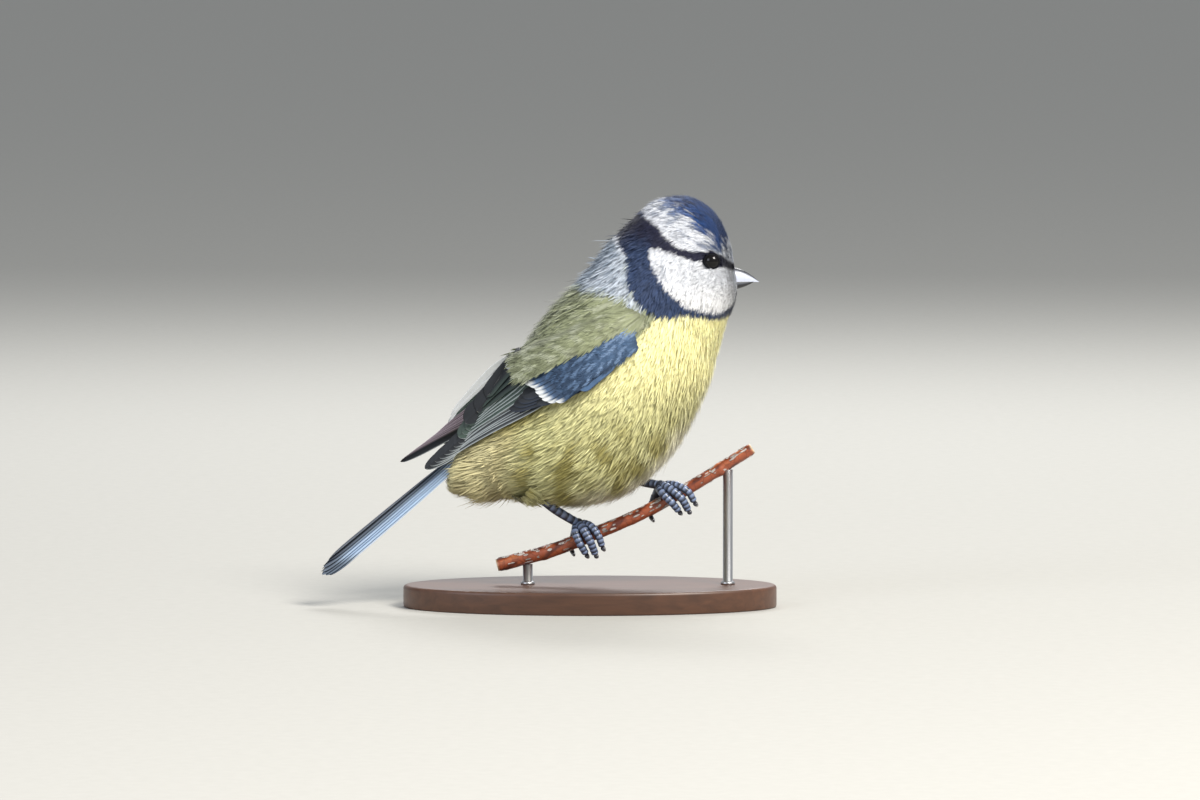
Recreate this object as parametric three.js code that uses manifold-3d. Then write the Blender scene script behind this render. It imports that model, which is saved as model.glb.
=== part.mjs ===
// A life-size still model of a blue tit on a short length of twig, held by a plain display stand.
// Millimetres, +Z up. The bird looks along +X, its right side is -Y.
// The origin is the middle of the underside of the stand's base.
import * as THREE from "three";
import { mergeVertices } from "three/addons/utils/BufferGeometryUtils.js";
import Module from "manifold-3d";

const wasm = await Module();
wasm.setup();

// Driving sizes
const GAP = 0.3; // between touching pieces
const VANE = 0.62; // thickness of a flight feather
const BASE = { halfLength: 42, halfWidth: 23, height: 5, chamfer: 0.8 };
const ROD = { radius: 1.1, places: [-14, 31], sides: 16 };
const EYE = { x: 27.2, z: 78.4, radius: 2.0, proud: 0.75, lidRing: 1.85, lidTube: 0.42 };
const PERCH_RADIUS = [1.55, 1.3]; // at the left end and at the right end
const PERCH_SIDES = 12;
const PERCH_STEPS = 14;
const TAIL = { width: 5.0, pairs: 6, roof: 15, twist: 5, step: 0.34, steps: 5 };
// How each wing is folded: turned up by degrees, its least distance from the middle plane towards
// the tip, and how much further back and up its lowest primary reaches
const FOLD = {
  right: { lift: 0, tipOut: 4.6, reach: [0, 0] },
  left: { lift: -1.2, tipOut: 7.4, reach: [-5.4, 3.0] },
};
const WING_PIVOT = [8, 60]; // the wrist, about which a wing is turned

// The body, section by section, from the root of the bill to the root of the tail:
// back x, back z, belly x, belly z, half width
const BODY = [
  [32.8, 74.5, 32.8, 74.3, 0.4],
  [32.1, 77.8, 33.0, 71.5, 3.4],
  [31.2, 82.7, 32.6, 68.5, 6.6],
  [27.9, 89.0, 31.7, 66.1, 9.9],
  [22.0, 92.4, 30.8, 64.3, 11.9],
  [14.6, 91.5, 29.9, 61.3, 12.9],
  [9.0, 86.7, 29.0, 58.0, 13.9],
  [4.5, 82.2, 28.1, 54.8, 15.2],
  [0.4, 76.9, 26.5, 49.4, 16.7],
  [-4.5, 71.5, 23.8, 43.4, 17.8],
  [-9.4, 66.3, 20.2, 36.9, 18.4],
  [-13.9, 59.8, 14.6, 30.3, 18.2],
  [-18.2, 53.2, 6.7, 24.8, 16.9],
  [-22.0, 46.6, -3.4, 22.8, 14.2],
  [-25.6, 41.0, -14.6, 24.2, 10.8],
  [-28.4, 36.8, -24.7, 24.8, 7.2],
  [-30.4, 33.6, -31.0, 25.6, 4.6],
  [-32.2, 30.2, -32.2, 29.8, 0.4],
];
const CUTS = [5.6, 7.4, 13.4]; // sections where head, neck, torso and rump part

// The twig: x and z of its middle line
const TWIG = [
  [-20.9, 9.3],
  [-8.5, 12.7],
  [2.6, 17.1],
  [11.8, 21.1],
  [23.8, 27.7],
  [36.5, 35.7],
];

const catmull = (points) =>
  new THREE.CatmullRomCurve3(points, false, "catmullrom", 0.5);
const BACK = catmull(BODY.map((r) => new THREE.Vector3(r[0], r[4], r[1])));
const BELLY = catmull(BODY.map((r) => new THREE.Vector3(r[2], r[4], r[3])));
const LAST = BODY.length - 1;

// The body's section at place t: middle, vector from the middle to the back, half width
function section(t) {
  const back = BACK.getPoint(t / LAST);
  const belly = BELLY.getPoint(t / LAST);
  const half = Math.max(back.y, 0.2);
  back.y = 0;
  belly.y = 0;
  const middle = back.clone().add(belly).multiplyScalar(0.5);
  return { middle, up: back.clone().sub(middle), half };
}

// A closed solid from rings of points, all turning the same way, with flat or pointed ends.
// A thin vane lists the points of its top face and then those of its bottom face, back again:
// its bottom is split along the other diagonal, so that both faces have the same triangles.
function solidFromRings(rings, vane = false) {
  const sides = rings[0].length;
  const places = rings.flat().flatMap((p) => [p.x, p.y, p.z]);
  const first = rings[0].reduce((a, p) => a.add(p), new THREE.Vector3()).divideScalar(sides);
  const last = rings.at(-1).reduce((a, p) => a.add(p), new THREE.Vector3()).divideScalar(sides);
  places.push(first.x, first.y, first.z, last.x, last.y, last.z);
  const start = rings.length * sides;
  const faces = [];
  for (let j = 0; j < sides; j++) {
    const k = (j + 1) % sides;
    for (let i = 0; i + 1 < rings.length; i++) {
      const a = i * sides;
      const b = a + sides;
      if (vane && j >= sides / 2) faces.push(a + j, a + k, b + j, a + k, b + k, b + j);
      else faces.push(a + j, a + k, b + k, a + j, b + k, b + j);
    }
    faces.push(start, k, j);
    faces.push(start + 1, start - sides + j, start - sides + k);
  }
  const solid = makeManifold(new Float32Array(places), new Uint32Array(faces));
  if (solid.volume() > 0) return solid;
  for (let i = 0; i < faces.length; i += 3) [faces[i], faces[i + 1]] = [faces[i + 1], faces[i]];
  return makeManifold(new Float32Array(places), new Uint32Array(faces));
}

function makeManifold(vertProperties, triVerts) {
  return new wasm.Manifold(new wasm.Mesh({ numProp: 3, vertProperties, triVerts }));
}

// A three.js geometry, closed, as a manifold solid
function fromGeometry(geometry) {
  const g = geometry.index ? geometry.toNonIndexed() : geometry.clone();
  g.deleteAttribute("normal");
  g.deleteAttribute("uv");
  const merged = mergeVertices(g, 1e-4);
  return makeManifold(
    new Float32Array(merged.attributes.position.array),
    new Uint32Array(merged.index.array),
  );
}

function toGeometry(solid) {
  const mesh = solid.getMesh();
  const n = mesh.numProp;
  const places = new Float32Array(mesh.numVert * 3);
  for (let i = 0; i < mesh.numVert; i++)
    places.set(mesh.vertProperties.subarray(i * n, i * n + 3), i * 3);
  const g = new THREE.BufferGeometry();
  g.setAttribute("position", new THREE.BufferAttribute(places, 3));
  g.setIndex(new THREE.BufferAttribute(new Uint32Array(mesh.triVerts), 1));
  g.computeVertexNormals();
  return g;
}

const joined = (solids) => solids.reduce((a, b) => a.add(b));

// The largest closed surface of a solid, without sealed hollows and loose scraps
function largest(solid) {
  return solid.decompose().reduce((a, b) => (b.volume() > a.volume() ? b : a));
}

// The whole body as one loft, grown by an even margin
function bodyLoft(margin, sides = 26, steps = 38) {
  const rings = [];
  for (let i = 0; i <= steps; i++) {
    const { middle, up, half } = section((i / steps) * LAST);
    const reach = up.length();
    const grown = up.clone().multiplyScalar((reach + margin) / reach);
    rings.push(
      Array.from({ length: sides }, (_, j) => {
        const a = (j / sides) * 2 * Math.PI;
        return middle
          .clone()
          .addScaledVector(grown, Math.cos(a))
          .add(new THREE.Vector3(0, (half + margin) * Math.sin(a), 0));
      }),
    );
  }
  return solidFromRings(rings);
}

// A thin plate in the plane of the body's section at place t
function slabAt(t) {
  const { middle, up } = section(t);
  const plate = new THREE.BoxGeometry(GAP, 90, 90);
  const turn = new THREE.Matrix4().makeRotationY(Math.atan2(up.x, up.z));
  plate.applyMatrix4(turn);
  plate.translate(middle.x, 0, middle.z);
  return fromGeometry(plate);
}

// How far the body's side lies from the middle plane at x, z; 0 outside its outline
function bodySide(x, z) {
  let low = 1;
  let high = LAST - 0.2;
  const ahead = (t) => {
    const { middle, up } = section(t);
    return (x - middle.x) * up.z - (z - middle.z) * up.x;
  };
  for (let i = 0; i < 22; i++) {
    const mid = (low + high) / 2;
    if (ahead(mid) < 0) low = mid;
    else high = mid;
  }
  const { middle, up, half } = section(low);
  const q = ((x - middle.x) * up.x + (z - middle.z) * up.z) / up.lengthSq();
  return half * Math.sqrt(Math.max(0, 1 - q * q));
}

// The bed a folded wing lies on: the body's side, kept off the middle plane towards the tip
function wingBed(x, z, tipOut) {
  const side = bodySide(x, z);
  const blend = 3;
  return 0.5 * (side + tipOut + Math.hypot(side - tipOut, blend));
}

// A point of the bed at x, z on the left side, and the way out of it
function bedFrame(x, z, tipOut) {
  const step = 0.2;
  const y = wingBed(x, z, tipOut);
  const slopeX = (wingBed(x + step, z, tipOut) - y) / step;
  const slopeZ = (wingBed(x, z + step, tipOut) - y) / step;
  return { place: new THREE.Vector3(x, y, z), out: new THREE.Vector3(-slopeX, 1, -slopeZ).normalize() };
}

// A folded wing thins out towards the bend of the wing, where it sinks into the breast
const wingDepth = (x) => THREE.MathUtils.lerp(1, 0.3, THREE.MathUtils.smoothstep(x, 1, 13));

// The half width of a feather along its length: a narrow root, straight edges and a round tip
function featherWidth(s, roundRoot) {
  const tip = 0.8;
  const root = 0.3;
  if (s >= tip) return Math.sqrt(1.02 - ((s - tip) / (1 - tip)) ** 2);
  if (s >= root) return 1;
  return roundRoot ? Math.sqrt(1.02 - ((root - s) / root) ** 2) : 0.75 + 0.83 * s;
}

// One feather of a wing, from root to tip (x, z), laid on the wing's bed.
// o runs across it, from -1 on the lower edge to 1 on the upper.
function wingFeather(feather, wing) {
  const { root, tip, width, lift, tilt, bow = 0, steps = 4, thick = VANE, roundRoot = false } = feather;
  const run = new THREE.Vector2(tip[0] - root[0], tip[1] - root[1]);
  const across = new THREE.Vector2(-run.y, run.x).normalize();
  if (across.y < 0) across.negate();
  const least = GAP + 0.1;
  const crown = 0.2; // how much the middle of a feather stands up over its edges
  const rings = [];
  for (let i = 0; i <= steps; i++) {
    const even = (1 - Math.cos((i / steps) * Math.PI)) / 2;
    const s = roundRoot ? even : Math.sin((i / steps) * 0.5 * Math.PI) ** 1.1;
    const half = (width / 2) * featherWidth(s, roundRoot);
    const sag = bow * Math.sin(Math.PI * s);
    const midX = root[0] + run.x * s + across.x * sag;
    const midZ = root[1] + run.y * s + across.y * sag;
    const at = (o, depth) => {
      const [x, z] = wing.turn(midX + across.x * o * half, midZ + across.y * o * half);
      const { place, out } = bedFrame(x, z, wing.tipOut);
      const height = lift * wingDepth(x) * (0.75 + 0.25 * s) - tilt * o + crown * (1 - o * o);
      const clear = depth > 0 ? Math.max(height - depth, least) : Math.max(height, least + 0.7 * thick);
      place.addScaledVector(out, clear);
      place.y *= wing.side;
      return place;
    };
    const places = roundRoot ? [-1, 0, 1] : [-1, 1];
    rings.push([...places.map((o) => at(o, 0)), ...places.toReversed().map((o) => at(o, thick))]);
  }
  return solidFromRings(rings, true);
}

const lerp2 = (a, b, s) => [a[0] + (b[0] - a[0]) * s, a[1] + (b[1] - a[1]) * s];

// The tiers of a folded wing. Each is a row of feathers between its lowest and its uppermost one:
// roots and tips as x, z, the width of a feather, the lift off the bed of both and how far a
// feather's upper edge dips under the next one.
const TIERS = {
  primaries: {
    count: 6,
    roots: [[-3.5, 51.2], [-11.0, 54.0]],
    tips: [[-37.0, 31.6], [-30.0, 37.6]],
    width: 3.9, lifts: [0.9, 1.4], tilt: 0.16, bow: 0.9, steps: 4,
  },
  secondaries: {
    count: 4,
    roots: [[-8.5, 54.4], [-13.5, 56.2]],
    tips: [[-29.6, 38.9], [-25.8, 43.6]],
    width: 4.8, lifts: [1.5, 1.8], tilt: 0.2, bow: 0, steps: 4,
  },
  tertials: {
    count: 3,
    roots: [[-10.8, 56.3], [-14.2, 58.0]],
    tips: [[-28.0, 42.0], [-22.4, 48.2]],
    width: 6.0, lifts: [2.1, 2.6], tilt: 0.25, bow: 0.4, steps: 4,
  },
  primaryCoverts: {
    count: 2,
    roots: [[-1.5, 51.4], [-4.0, 53.0]],
    tips: [[-16.0, 45.4], [-13.5, 47.8]],
    width: 3.6, lifts: [1.4, 1.7], tilt: 0.12, bow: -0.3, steps: 3,
  },
  greaterCoverts: {
    count: 6,
    roots: [[0.8, 53.6], [-6.8, 58.6]],
    tips: [[-8.0, 47.6], [-16.2, 53.0]],
    width: 4.0, lifts: [2.2, 2.5], tilt: 0.2, bow: 0, steps: 3,
  },
  medianCoverts: {
    count: 5,
    roots: [[6.5, 57.4], [0.5, 61.0]],
    tips: [[-1.4, 50.4], [-9.4, 56.0]],
    width: 4.4, lifts: [2.6, 2.9], tilt: 0.18, bow: 0, steps: 3,
  },
  lesserCoverts: {
    count: 4,
    roots: [[10.8, 60.8], [7.6, 62.8]],
    tips: [[4.0, 54.2], [-2.6, 59.8]],
    width: 4.4, lifts: [3.0, 3.3], tilt: 0.1, bow: 0, steps: 3,
  },
};
const ALULA = { root: [1.0, 52.2], tip: [-10.6, 47.0], width: 2.4, lift: 1.5, tilt: 0.1, steps: 3 };
// The flesh of the folded arm, under the coverts
const SHOULDER = {
  root: [12.6, 62.6],
  tip: [-14, 53.6],
  width: 10, lift: 2.2, tilt: 0, steps: 6, thick: 1.7, roundRoot: true,
};

function makeWing(sideName) {
  const { lift, tipOut, reach } = FOLD[sideName];
  const angle = THREE.MathUtils.degToRad(lift);
  const turn = (x, z) => {
    const dx = x - WING_PIVOT[0];
    const dz = z - WING_PIVOT[1];
    return [
      WING_PIVOT[0] + dx * Math.cos(angle) + dz * Math.sin(angle),
      WING_PIVOT[1] - dx * Math.sin(angle) + dz * Math.cos(angle),
    ];
  };
  const wing = { side: sideName === "right" ? -1 : 1, turn, tipOut };
  const feathers = [wingFeather(SHOULDER, wing), wingFeather(ALULA, wing)];
  for (const [name, tier] of Object.entries(TIERS)) {
    const { count, roots, tips, lifts, ...shape } = tier;
    const further = name === "primaries" ? reach : [0, 0];
    for (let i = 0; i < count; i++) {
      const s = i / (count - 1);
      const tip = lerp2(...tips, s);
      const feather = {
        ...shape,
        root: lerp2(...roots, s),
        tip: [tip[0] + further[0] * (1 - s), tip[1] + further[1] * (1 - s)],
        lift: THREE.MathUtils.lerp(...lifts, s),
      };
      feathers.push(wingFeather(feather, wing));
    }
  }
  return joined(feathers);
}

// The tail: pairs of feathers from the middle pair on top to the outer pair below
const TAIL_ROOT = new THREE.Vector3(-27.6, 0, 36.6);
const TAIL_TIP = new THREE.Vector3(-61.2, 0, 8.6);

function makeTail() {
  const along = TAIL_TIP.clone().sub(TAIL_ROOT).normalize();
  const flat = new THREE.Vector3(0, 1, 0);
  const up = flat.clone().cross(along).normalize();
  const twist = -THREE.MathUtils.degToRad(TAIL.twist);
  flat.applyAxisAngle(along, twist);
  up.applyAxisAngle(along, twist);
  const reach = TAIL_TIP.distanceTo(TAIL_ROOT);
  const feathers = [];
  for (let pair = 0; pair < TAIL.pairs; pair++)
    for (const side of [-1, 1]) {
      const notch = pair === 0 ? 1.2 : 0; // the middle pair is a little shorter
      const length = reach - 0.64 * Math.abs(pair - 3) - notch;
      const roof = THREE.MathUtils.degToRad(TAIL.roof) * (0.5 + pair / 10);
      const rings = [];
      for (let i = 0; i <= TAIL.steps; i++) {
        const s = Math.sin((i / TAIL.steps) * 0.5 * Math.PI) ** 1.15;
        const tip = 0.85;
        const round = Math.sqrt(1.03 - (Math.max(s - tip, 0) / (1 - tip)) ** 2);
        const half = (TAIL.width / 2) * (s < tip ? 0.6 + 0.47 * s : round);
        const spread = side * (0.3 + pair * (0.36 + 0.22 * s));
        const drop = -pair * TAIL.step - Math.abs(spread) * 0.18 + (side > 0 ? 0.1 : 0);
        const at = (o, depth) =>
          TAIL_ROOT.clone()
            .addScaledVector(along, length * s)
            .addScaledVector(flat, spread + o * half * Math.cos(roof))
            .addScaledVector(up, drop - side * o * half * Math.sin(roof) - depth);
        rings.push([at(-1, 0), at(1, 0), at(1, VANE), at(-1, VANE)]);
      }
      feathers.push(solidFromRings(rings, true));
    }
  return joined(feathers);
}

// A round tube through points with a radius at each place s from 0 to 1
function tube(points, radius, sides, steps, squash = 1) {
  const curve = catmull(points);
  const frames = curve.computeFrenetFrames(steps, false);
  const rings = [];
  for (let i = 0; i <= steps; i++) {
    const s = i / steps;
    const p = curve.getPointAt(s);
    const r = radius(s);
    rings.push(
      Array.from({ length: sides }, (_, j) => {
        const a = (j / sides) * 2 * Math.PI;
        return p
          .clone()
          .addScaledVector(frames.normals[i], r * Math.cos(a) * squash)
          .addScaledVector(frames.binormals[i], r * Math.sin(a));
      }),
    );
  }
  return solidFromRings(rings);
}

const twigPoints = TWIG.map(([x, z]) => new THREE.Vector3(x, 0, z));
const twigCurve = catmull(twigPoints);
const twigRadius = (s) => THREE.MathUtils.lerp(...PERCH_RADIUS, s);

// The twig's frame at x: a point on its middle line, its direction, up and towards -Y
function twigFrame(x) {
  let low = 0;
  let high = 1;
  for (let i = 0; i < 24; i++) {
    const mid = (low + high) / 2;
    if (twigCurve.getPoint(mid).x < x) low = mid;
    else high = mid;
  }
  const middle = twigCurve.getPoint(low);
  const along = twigCurve.getTangent(low);
  const front = new THREE.Vector3(0, -1, 0);
  const up = front.clone().cross(along).negate().normalize();
  if (up.z < 0) up.negate();
  return { middle, along, up, front };
}

// A foot's toes, each as places round the twig: along it, angle from the top towards the front,
// distance from its middle line. claw is how many degrees further round the twig a claw reaches.
const TOES = {
  2: {
    path: [[-0.6, 8, 3.3], [-1.5, 50, 3.15], [-1.8, 100, 3.3], [-1.5, 142, 4.3]],
    radius: [0.85, 0.66], scutes: 5, claw: 56,
  },
  3: {
    path: [[0.1, 8, 3.45], [0.4, 52, 3.4], [0.5, 104, 3.6], [0.4, 150, 5.0]],
    radius: [0.9, 0.7], scutes: 6, claw: 50,
  },
  4: {
    path: [[0.9, 8, 3.3], [2.2, 48, 3.15], [2.7, 96, 3.3], [2.5, 138, 4.3]],
    radius: [0.82, 0.64], scutes: 5, claw: 56,
  },
  1: {
    path: [[0, -8, 3.2], [-1.0, -50, 3.0], [-2.4, -92, 2.9], [-3.2, -118, 3.2]],
    radius: [0.95, 0.75], scutes: 4, claw: 60,
  },
};
const PAD = { radius: 1.35, height: 3.45 }; // the ball of the foot over the twig's middle line
// Where each foot stands on the twig, where its heel is, and how far its toes slant along the twig
const FEET = {
  right: { x: -1.3, heel: new THREE.Vector3(-12.4, -6.5, 26.2), slant: 0.5 },
  left: { x: 17.6, heel: new THREE.Vector3(8.2, 5.6, 29.2), slant: 2.0 },
};

function aroundTwig(frame, [shift, degrees, distance], slant) {
  const a = THREE.MathUtils.degToRad(degrees);
  return frame.middle
    .clone()
    .addScaledVector(frame.along, shift + (slant * THREE.MathUtils.clamp(degrees, -100, 110)) / 90)
    .addScaledVector(frame.up, Math.cos(a) * distance)
    .addScaledVector(frame.front, Math.sin(a) * distance);
}

// A radius with raised scutes, from base to tip
const scuted = (count, depth, base, tip) => (s) =>
  THREE.MathUtils.lerp(base, tip, s) * (1 + depth * (0.5 - ((s * count * 0.999) % 1)));

function padOf({ x }, margin) {
  const pad = new THREE.SphereGeometry(PAD.radius + margin, 10, 7);
  pad.translate(...aroundTwig(twigFrame(x), [0, 0, PAD.height], 0).toArray());
  return fromGeometry(pad);
}

function makeFoot(foot) {
  const frame = twigFrame(foot.x);
  const toes = Object.values(TOES).map(({ path, radius, scutes }) => {
    const points = path.map((place) => aroundTwig(frame, place, foot.slant));
    return tube(points, scuted(scutes, 0.14, ...radius), 7, scutes * 2);
  });
  return joined([padOf(foot, 0), ...toes]);
}

function makeClaw({ x, slant }, { path, claw }) {
  const frame = twigFrame(x);
  const [shift, from, distance] = path.at(-1);
  const turn = Math.sign(from);
  const points = [0, 0.34, 0.67, 1].map((s) => {
    const place = [shift + 0.25 * s, from + turn * (10 + claw * s), distance + 0.1 - 1.1 * s * s];
    return aroundTwig(frame, place, slant);
  });
  return tube(points, (s) => 0.5 * (1 - s) ** 0.8 + 0.09, 6, 5, 0.8);
}

function makeLeg({ x, heel }) {
  const ankle = aroundTwig(twigFrame(x), [0, 0, 3.6], 0);
  const bend = heel.clone().lerp(ankle, 0.5).add(new THREE.Vector3(-0.3, 0, -0.3));
  return tube([heel, bend, ankle], scuted(6, 0.1, 1.05, 0.95), 10, 12);
}

// The bill: half-round sections, the upper with its back up, the lower with its back down
const BILL = {
  upper: { base: [31.2, 73.25], tip: [38.0, 73.4], height: 3.3, width: 2.0, sense: 1 },
  lower: { base: [31.2, 72.9], tip: [36.9, 73.0], height: 1.55, width: 1.7, sense: -1 },
};

function makeBillHalf({ base, tip, height, width, sense }) {
  const steps = 7;
  const sides = 10;
  const rings = [];
  for (let i = 0; i <= steps; i++) {
    const s = i / steps;
    const swell = Math.max(1 - s ** 1.9, 0.05);
    const x = THREE.MathUtils.lerp(base[0], tip[0], s);
    const z = THREE.MathUtils.lerp(base[1], tip[1], s) - sense * 0.25 * s * s * s;
    rings.push(
      Array.from({ length: sides }, (_, j) => {
        const a = (j / (sides - 1)) * Math.PI;
        return new THREE.Vector3(
          x,
          Math.cos(a) * width * Math.max(1 - s ** 1.5, 0.05),
          z + sense * Math.sin(a) * height * swell,
        );
      }),
    );
  }
  return solidFromRings(rings);
}

function ball(x, y, z, radius, across = 14, down = 8) {
  const g = new THREE.SphereGeometry(radius, across, down);
  g.rotateX(Math.PI / 2);
  g.translate(x, y, z);
  return fromGeometry(g);
}

function eyeMiddle(side) {
  return [EYE.x, side * (bodySide(EYE.x, EYE.z) + EYE.proud - EYE.radius), EYE.z];
}

function lid(side) {
  const [x, y, z] = eyeMiddle(side);
  const ring = new THREE.TorusGeometry(EYE.lidRing, EYE.lidTube, 6, 16);
  ring.rotateX(Math.PI / 2);
  ring.translate(x, y + side * 0.95, z);
  return fromGeometry(ring);
}

function standBase() {
  const { halfLength, halfWidth, height, chamfer } = BASE;
  const profile = [
    [0, 0],
    [halfLength - chamfer * 0.5, 0],
    [halfLength, chamfer * 0.5],
    [halfLength, height - chamfer],
    [halfLength - chamfer, height],
    [0, height],
  ].map(([r, z]) => new THREE.Vector2(r, z));
  const g = new THREE.LatheGeometry(profile, 40);
  g.rotateX(Math.PI / 2);
  g.scale(1, halfWidth / halfLength, 1);
  return fromGeometry(g);
}

function standRod(x) {
  const frame = twigFrame(x);
  const top = frame.middle.z;
  const bottom = BASE.height + GAP;
  const g = new THREE.CylinderGeometry(ROD.radius, ROD.radius, top - bottom, ROD.sides);
  g.rotateX(Math.PI / 2);
  g.translate(x, 0, (top + bottom) / 2);
  return fromGeometry(g);
}

// Cuts: the neighbours meet face to face with the gap between them
const body = bodyLoft(0);
const grownBody = bodyLoft(GAP + 0.05)
  .add(body.translate([GAP + 0.05, 0, 0]))
  .add(body.translate([-GAP, 0, -GAP / 2]));
const slabs = CUTS.map(slabAt);
const lengths = slabs
  .reduce((rest, slab) => rest.subtract(slab), body)
  .decompose()
  .sort((a, b) => b.boundingBox().max[0] - a.boundingBox().max[0]);
if (lengths.length !== CUTS.length + 1) throw new Error("the body fell into " + lengths.length);
const [headBlank, neck, torso, rump] = lengths;
const sockets = [-1, 1].map((side) => ball(...eyeMiddle(side), EYE.radius + GAP));
const head = [-1, 1]
  .reduce((rest, side) => rest.add(lid(side)), headBlank)
  .subtract(joined(sockets));

const twig = tube(twigPoints, twigRadius, PERCH_SIDES, PERCH_STEPS);
const grownTwig = tube(twigPoints, (s) => twigRadius(s) + GAP, PERCH_SIDES, PERCH_STEPS);

const nostril = (side) => ball(34.0, side * 1.75, 74.9, 0.5, 8, 6);
const billUpper = [-1, 1]
  .reduce((rest, side) => rest.subtract(nostril(side)), makeBillHalf(BILL.upper))
  .subtract(grownBody);

const legs = {};
const feet = {};
for (const side of Object.keys(FEET)) {
  feet[side] = makeFoot(FEET[side]).subtract(grownTwig);
  legs[side] = makeLeg(FEET[side]).subtract(padOf(FEET[side], GAP)).subtract(grownBody);
}

const tail = makeTail().subtract(grownBody);

// Materials
const paint = (color, roughness = 0.8) =>
  new THREE.MeshStandardMaterial({ color, roughness, metalness: 0 });
const MATERIALS = {
  face: paint(0xf2f4f5),
  nape: paint(0x4a5c80),
  plumage: paint(0xcfc66f),
  rump: paint(0x9ba26b),
  wing: paint(0x47586e, 0.7),
  tail: paint(0x7f9cc0, 0.6),
  leg: paint(0x5d6f94, 0.5),
  claw: paint(0x3a3a3f, 0.35),
  bill: paint(0x4a4a52, 0.35),
  eye: paint(0x0b0a09, 0.05),
  twig: paint(0xa5532f, 0.6),
  stand: paint(0x3b2a20, 0.4),
  rod: paint(0x8c8c8c, 0.35),
};

const model = new THREE.Group();
function place(name, solid, material) {
  const mesh = new THREE.Mesh(toGeometry(largest(solid)), material);
  mesh.name = name;
  model.add(mesh);
}

place("head", head, MATERIALS.face);
place("neck", neck, MATERIALS.nape);
place("torso", torso, MATERIALS.plumage);
place("rump", rump, MATERIALS.rump);
place("tail", tail, MATERIALS.tail);
place("wing_right", makeWing("right").subtract(grownBody), MATERIALS.wing);
place("wing_left", makeWing("left").subtract(grownBody), MATERIALS.wing);
place("eye_right", ball(...eyeMiddle(-1), EYE.radius), MATERIALS.eye);
place("eye_left", ball(...eyeMiddle(1), EYE.radius), MATERIALS.eye);
place("bill_upper", billUpper, MATERIALS.bill);
place("bill_lower", makeBillHalf(BILL.lower).subtract(grownBody), MATERIALS.bill);
for (const side of Object.keys(FEET)) {
  place("leg_" + side, legs[side], MATERIALS.leg);
  place("foot_" + side, feet[side], MATERIALS.leg);
  for (const [number, toe] of Object.entries(TOES))
    place("claw_" + side + "_" + number, makeClaw(FEET[side], toe).subtract(grownTwig), MATERIALS.claw);
}
place("perch", twig, MATERIALS.twig);
place("stand_base", standBase(), MATERIALS.stand);
ROD.places.forEach((x, i) => {
  place("stand_rod_" + (i + 1), standRod(x).subtract(grownTwig), MATERIALS.rod);
});

export default model;
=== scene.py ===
# %% [markdown]
# A blue tit on a twig
#
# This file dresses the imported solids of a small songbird: a life-size still model that grips a cut
# twig on a plain display stand. The solids say where everything is. Here each of them gets the
# surface that the real thing has: feathers, horn, scuted skin, bark, wood and steel.
#
# Everything is in the frame of the solids: the bird looks along +X, its right side is -Y, and the
# origin is the middle of the underside of the base. Sizes are written in millimetres, because that
# is how one measures a bird, and one factor turns them to Blender's metres.

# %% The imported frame
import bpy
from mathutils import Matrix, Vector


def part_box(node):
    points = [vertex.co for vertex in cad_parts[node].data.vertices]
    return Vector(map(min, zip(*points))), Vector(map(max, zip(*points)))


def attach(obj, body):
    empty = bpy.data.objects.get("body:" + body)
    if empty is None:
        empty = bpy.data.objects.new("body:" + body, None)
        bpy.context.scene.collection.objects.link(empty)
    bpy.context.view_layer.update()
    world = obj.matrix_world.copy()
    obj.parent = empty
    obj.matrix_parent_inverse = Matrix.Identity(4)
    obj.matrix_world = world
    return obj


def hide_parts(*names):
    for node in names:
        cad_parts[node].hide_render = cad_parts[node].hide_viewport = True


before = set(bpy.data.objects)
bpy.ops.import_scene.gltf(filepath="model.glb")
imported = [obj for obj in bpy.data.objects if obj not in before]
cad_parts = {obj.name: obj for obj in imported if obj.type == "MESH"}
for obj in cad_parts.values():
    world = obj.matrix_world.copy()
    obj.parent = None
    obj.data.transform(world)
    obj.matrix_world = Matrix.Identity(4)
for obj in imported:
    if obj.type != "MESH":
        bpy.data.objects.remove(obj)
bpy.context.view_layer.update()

import math
import bpy
import numpy as np
from mathutils import Vector

MM = 0.001
SIDES = {"right": -1, "left": 1}
draw = np.random.default_rng(2024)

# %% [markdown]
# Colours are picked as sRGB hex values, as from a paint chart, and turned to the linear values that
# the shaders and the colour attributes hold. One function does this for the whole file.

# %% Colours
def linear(code):
    """A hex colour such as #2F4B78 as three linear values."""
    c = np.array([int(code[i : i + 2], 16) for i in (1, 3, 5)]) / 255
    return np.where(c <= 0.04045, c / 12.92, ((c + 0.055) / 1.055) ** 2.4)


PLUMAGE = {
    name: linear(code)
    for name, code in {
        "cap": "#284B86",
        "cap_dark": "#27314F",
        "cap_grey": "#8896B2",
        "white": "#DBDEE4",
        "brow_grey": "#5E6C86",
        "stripe": "#1B1D35",
        "collar": "#2C3C5C",
        "nape": "#BCC5D0",
        "nape_dark": "#5F7388",
        "mantle": "#8A9070",
        "mantle_grey": "#ABAF9A",
        "breast": "#FDF6BB",
        "flank": "#CDCA94",
        "olive": "#85792A",
        "belly": "#EFEAD8",
        "ventral": "#59586A",
        "rump": "#B9B77C",
        "undertail": "#CBC196",
        "covert": "#3F5877",
        "covert_dark": "#1D2B40",
        "covert_edge": "#87A0C2",
        "wing_dark": "#171B21",
        "wing_green": "#36453F",
        "wing_edge": "#B4BCBE",
        "pink_painted_highlight": "#8F828C",
        "bar": "#D8DBDC",
        "tail_blue": "#C6DCF4",
        "tail_dark": "#252E3F",
        "tail_grey": "#555E68",
    }.items()
}
print("plumage colours:", len(PLUMAGE))

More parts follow.
